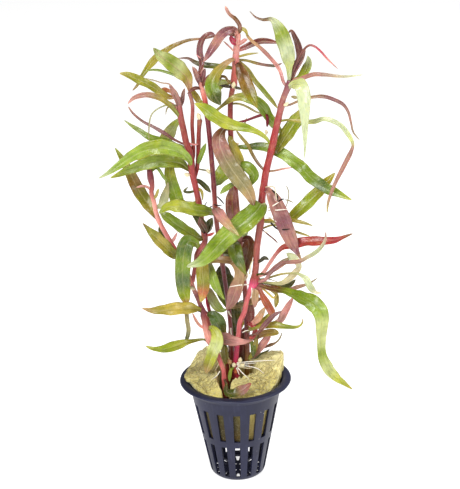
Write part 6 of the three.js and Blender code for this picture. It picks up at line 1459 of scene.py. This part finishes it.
def grow_stem(stem, grown, leaf_skin, stem_skin, draw):
    """A stem with its side shoots and small leaves, and its large leaves as pieces of their own."""
    routes = [sighted(rows) for rows in stem.routes]
    if stem.branch_of:
        routes[0] = beside(routes[0], grown[stem.branch_of], -BRANCH_OVERLAP)
    routes = routes[:1] + [rooted(route, routes[:1]) for route in routes[1:]]
    grown[stem.name] = routes
    leaves = [
        (title, look, beside(sighted(rows, LEAF_REACH), routes, -LEAF_OVERLAP))
        for title, look, rows in stem.leaves
    ]
    knots = [places[0] for _, _, (places, _) in leaves]
    tube = Surface()
    for route in routes:
        tints = tinted(route, STEM_SPACING, stem.tints)
        grow_tube(tube, route, tints, STEM_SIDES, STEM_SPACING, knots, STEM_RIDGE)
    slot = "stem_pink" if stem.name in PINK_STEMS else "stem_red"
    tube.piece("fleshy_" + stem.name, stem_skin, slot, stem.name)
    small = Surface()
    for look, rows in stem.sprigs:
        route = rooted(sighted(rows, LEAF_REACH), routes)
        grow_leaf(small, route, look, LEAF_OPENED, SPRIG_FOLD, *SPRIG_DETAIL, draw)
    small.piece(stem.name + "_small_leaves", leaf_skin, "leaf_olive", stem.name)
    for title, look, route in leaves:
        blade = Surface()
        opened, fold = LESS_OPENED.get(title, LEAF_OPENED), DEEPER_FOLD.get(title, LEAF_FOLD)
        grow_leaf(blade, route, look, opened, fold, *LEAF_DETAIL, draw)
        blade.piece("living_" + title, leaf_skin, leaf_slot(look), title)


def grow_plant():
    leaf_skin, stem_skin, root_skin = leaf_material(), stem_material(), root_material()
    draw = random.Random(PLANT_SEED)
    grown = {}
    for stem in STEMS:
        grow_stem(stem, grown, leaf_skin, stem_skin, draw)
    for title, table, sides in (("fine_roots", ROOTS, ROOT_SIDES), ("buds", BUDS, BUD_SIDES)):
        joined = Surface()
        for look, rows in table:
            route = sighted(rows)
            tints = looked_up(look, len(stations(route, ROOT_SPACING)[0]))[0]
            grow_tube(joined, route, tints, sides, ROOT_SPACING)
        joined.piece(title, root_skin, "leaf_pale")


def build_floor():
    s = Shader("pale_floor")
    cloud = s.noise(scale=3.0, detail=2.0)
    colour = s.mix(s.ramp(cloud, 0.3, 0.7), (0.62, 0.62, 0.625, 1.0), (0.65, 0.65, 0.645, 1.0))
    material = s.finish(Base_Color=colour, Roughness=0.6, Emission_Color=WHITE, Emission_Strength=0.76)
    mesh = bpy.data.meshes.new("floor")
    far = FLOOR_REACH
    mesh.from_pydata([(-far, -far, 0), (far, -far, 0), (far, far, 0), (-far, far, 0)], [], [(0, 1, 2, 3)])
    floor = bpy.data.objects.new("floor", mesh)
    bpy.context.scene.collection.objects.link(floor)
    floor.data.materials.append(material)


def build_lights():
    world = bpy.data.worlds.new("soft_studio")
    world.use_nodes = True
    sky = world.node_tree.nodes["Background"]
    sky.inputs["Color"].default_value = WHITE
    sky.inputs["Strength"].default_value = SKY_STRENGTH
    bpy.context.scene.world = world
    for title, place, size, power in LIGHTS:
        light = bpy.data.lights.new(title, "AREA")
        light.shape = "SQUARE"
        light.size = size
        light.energy = power
        lamp = bpy.data.objects.new(title, light)
        lamp.location = place
        lamp.rotation_euler = (Vector(LIT_PLACE) - Vector(place)).to_track_quat("-Z", "Y").to_euler()
        bpy.context.scene.collection.objects.link(lamp)
    bpy.context.scene.view_settings.view_transform = "Standard"


def build_camera():
    """Sees the pot and plant as the photograph does, in a frame of 460 by 489 pixels."""
    eye = EYE * MM
    forward = unit(CAMERA_AIM - eye)
    right = unit(np.cross(forward, [0, 0, 1]))
    up = np.cross(right, forward)
    turned_right = math.cos(CAMERA_ROLL) * right + math.sin(CAMERA_ROLL) * up
    turned_up = -math.sin(CAMERA_ROLL) * right + math.cos(CAMERA_ROLL) * up
    lens = bpy.data.cameras.new("photo_camera")
    lens.sensor_fit = "AUTO"
    lens.sensor_width = SENSOR
    lens.lens = FOCAL_PIXELS / LONGEST_SIDE_PIXELS * SENSOR
    lens.clip_start = 0.01
    camera = bpy.data.objects.new("photo_camera", lens)
    matrix = Matrix.Identity(4)
    for i, axis in enumerate((turned_right, turned_up, -forward, eye)):
        for j in range(3):
            matrix[j][i] = axis[j]
    camera.matrix_world = matrix
    bpy.context.scene.collection.objects.link(camera)
    bpy.context.scene.camera = camera


build_camera()
build_floor()
build_lights()
build_pot()
build_wool()
grow_plant()
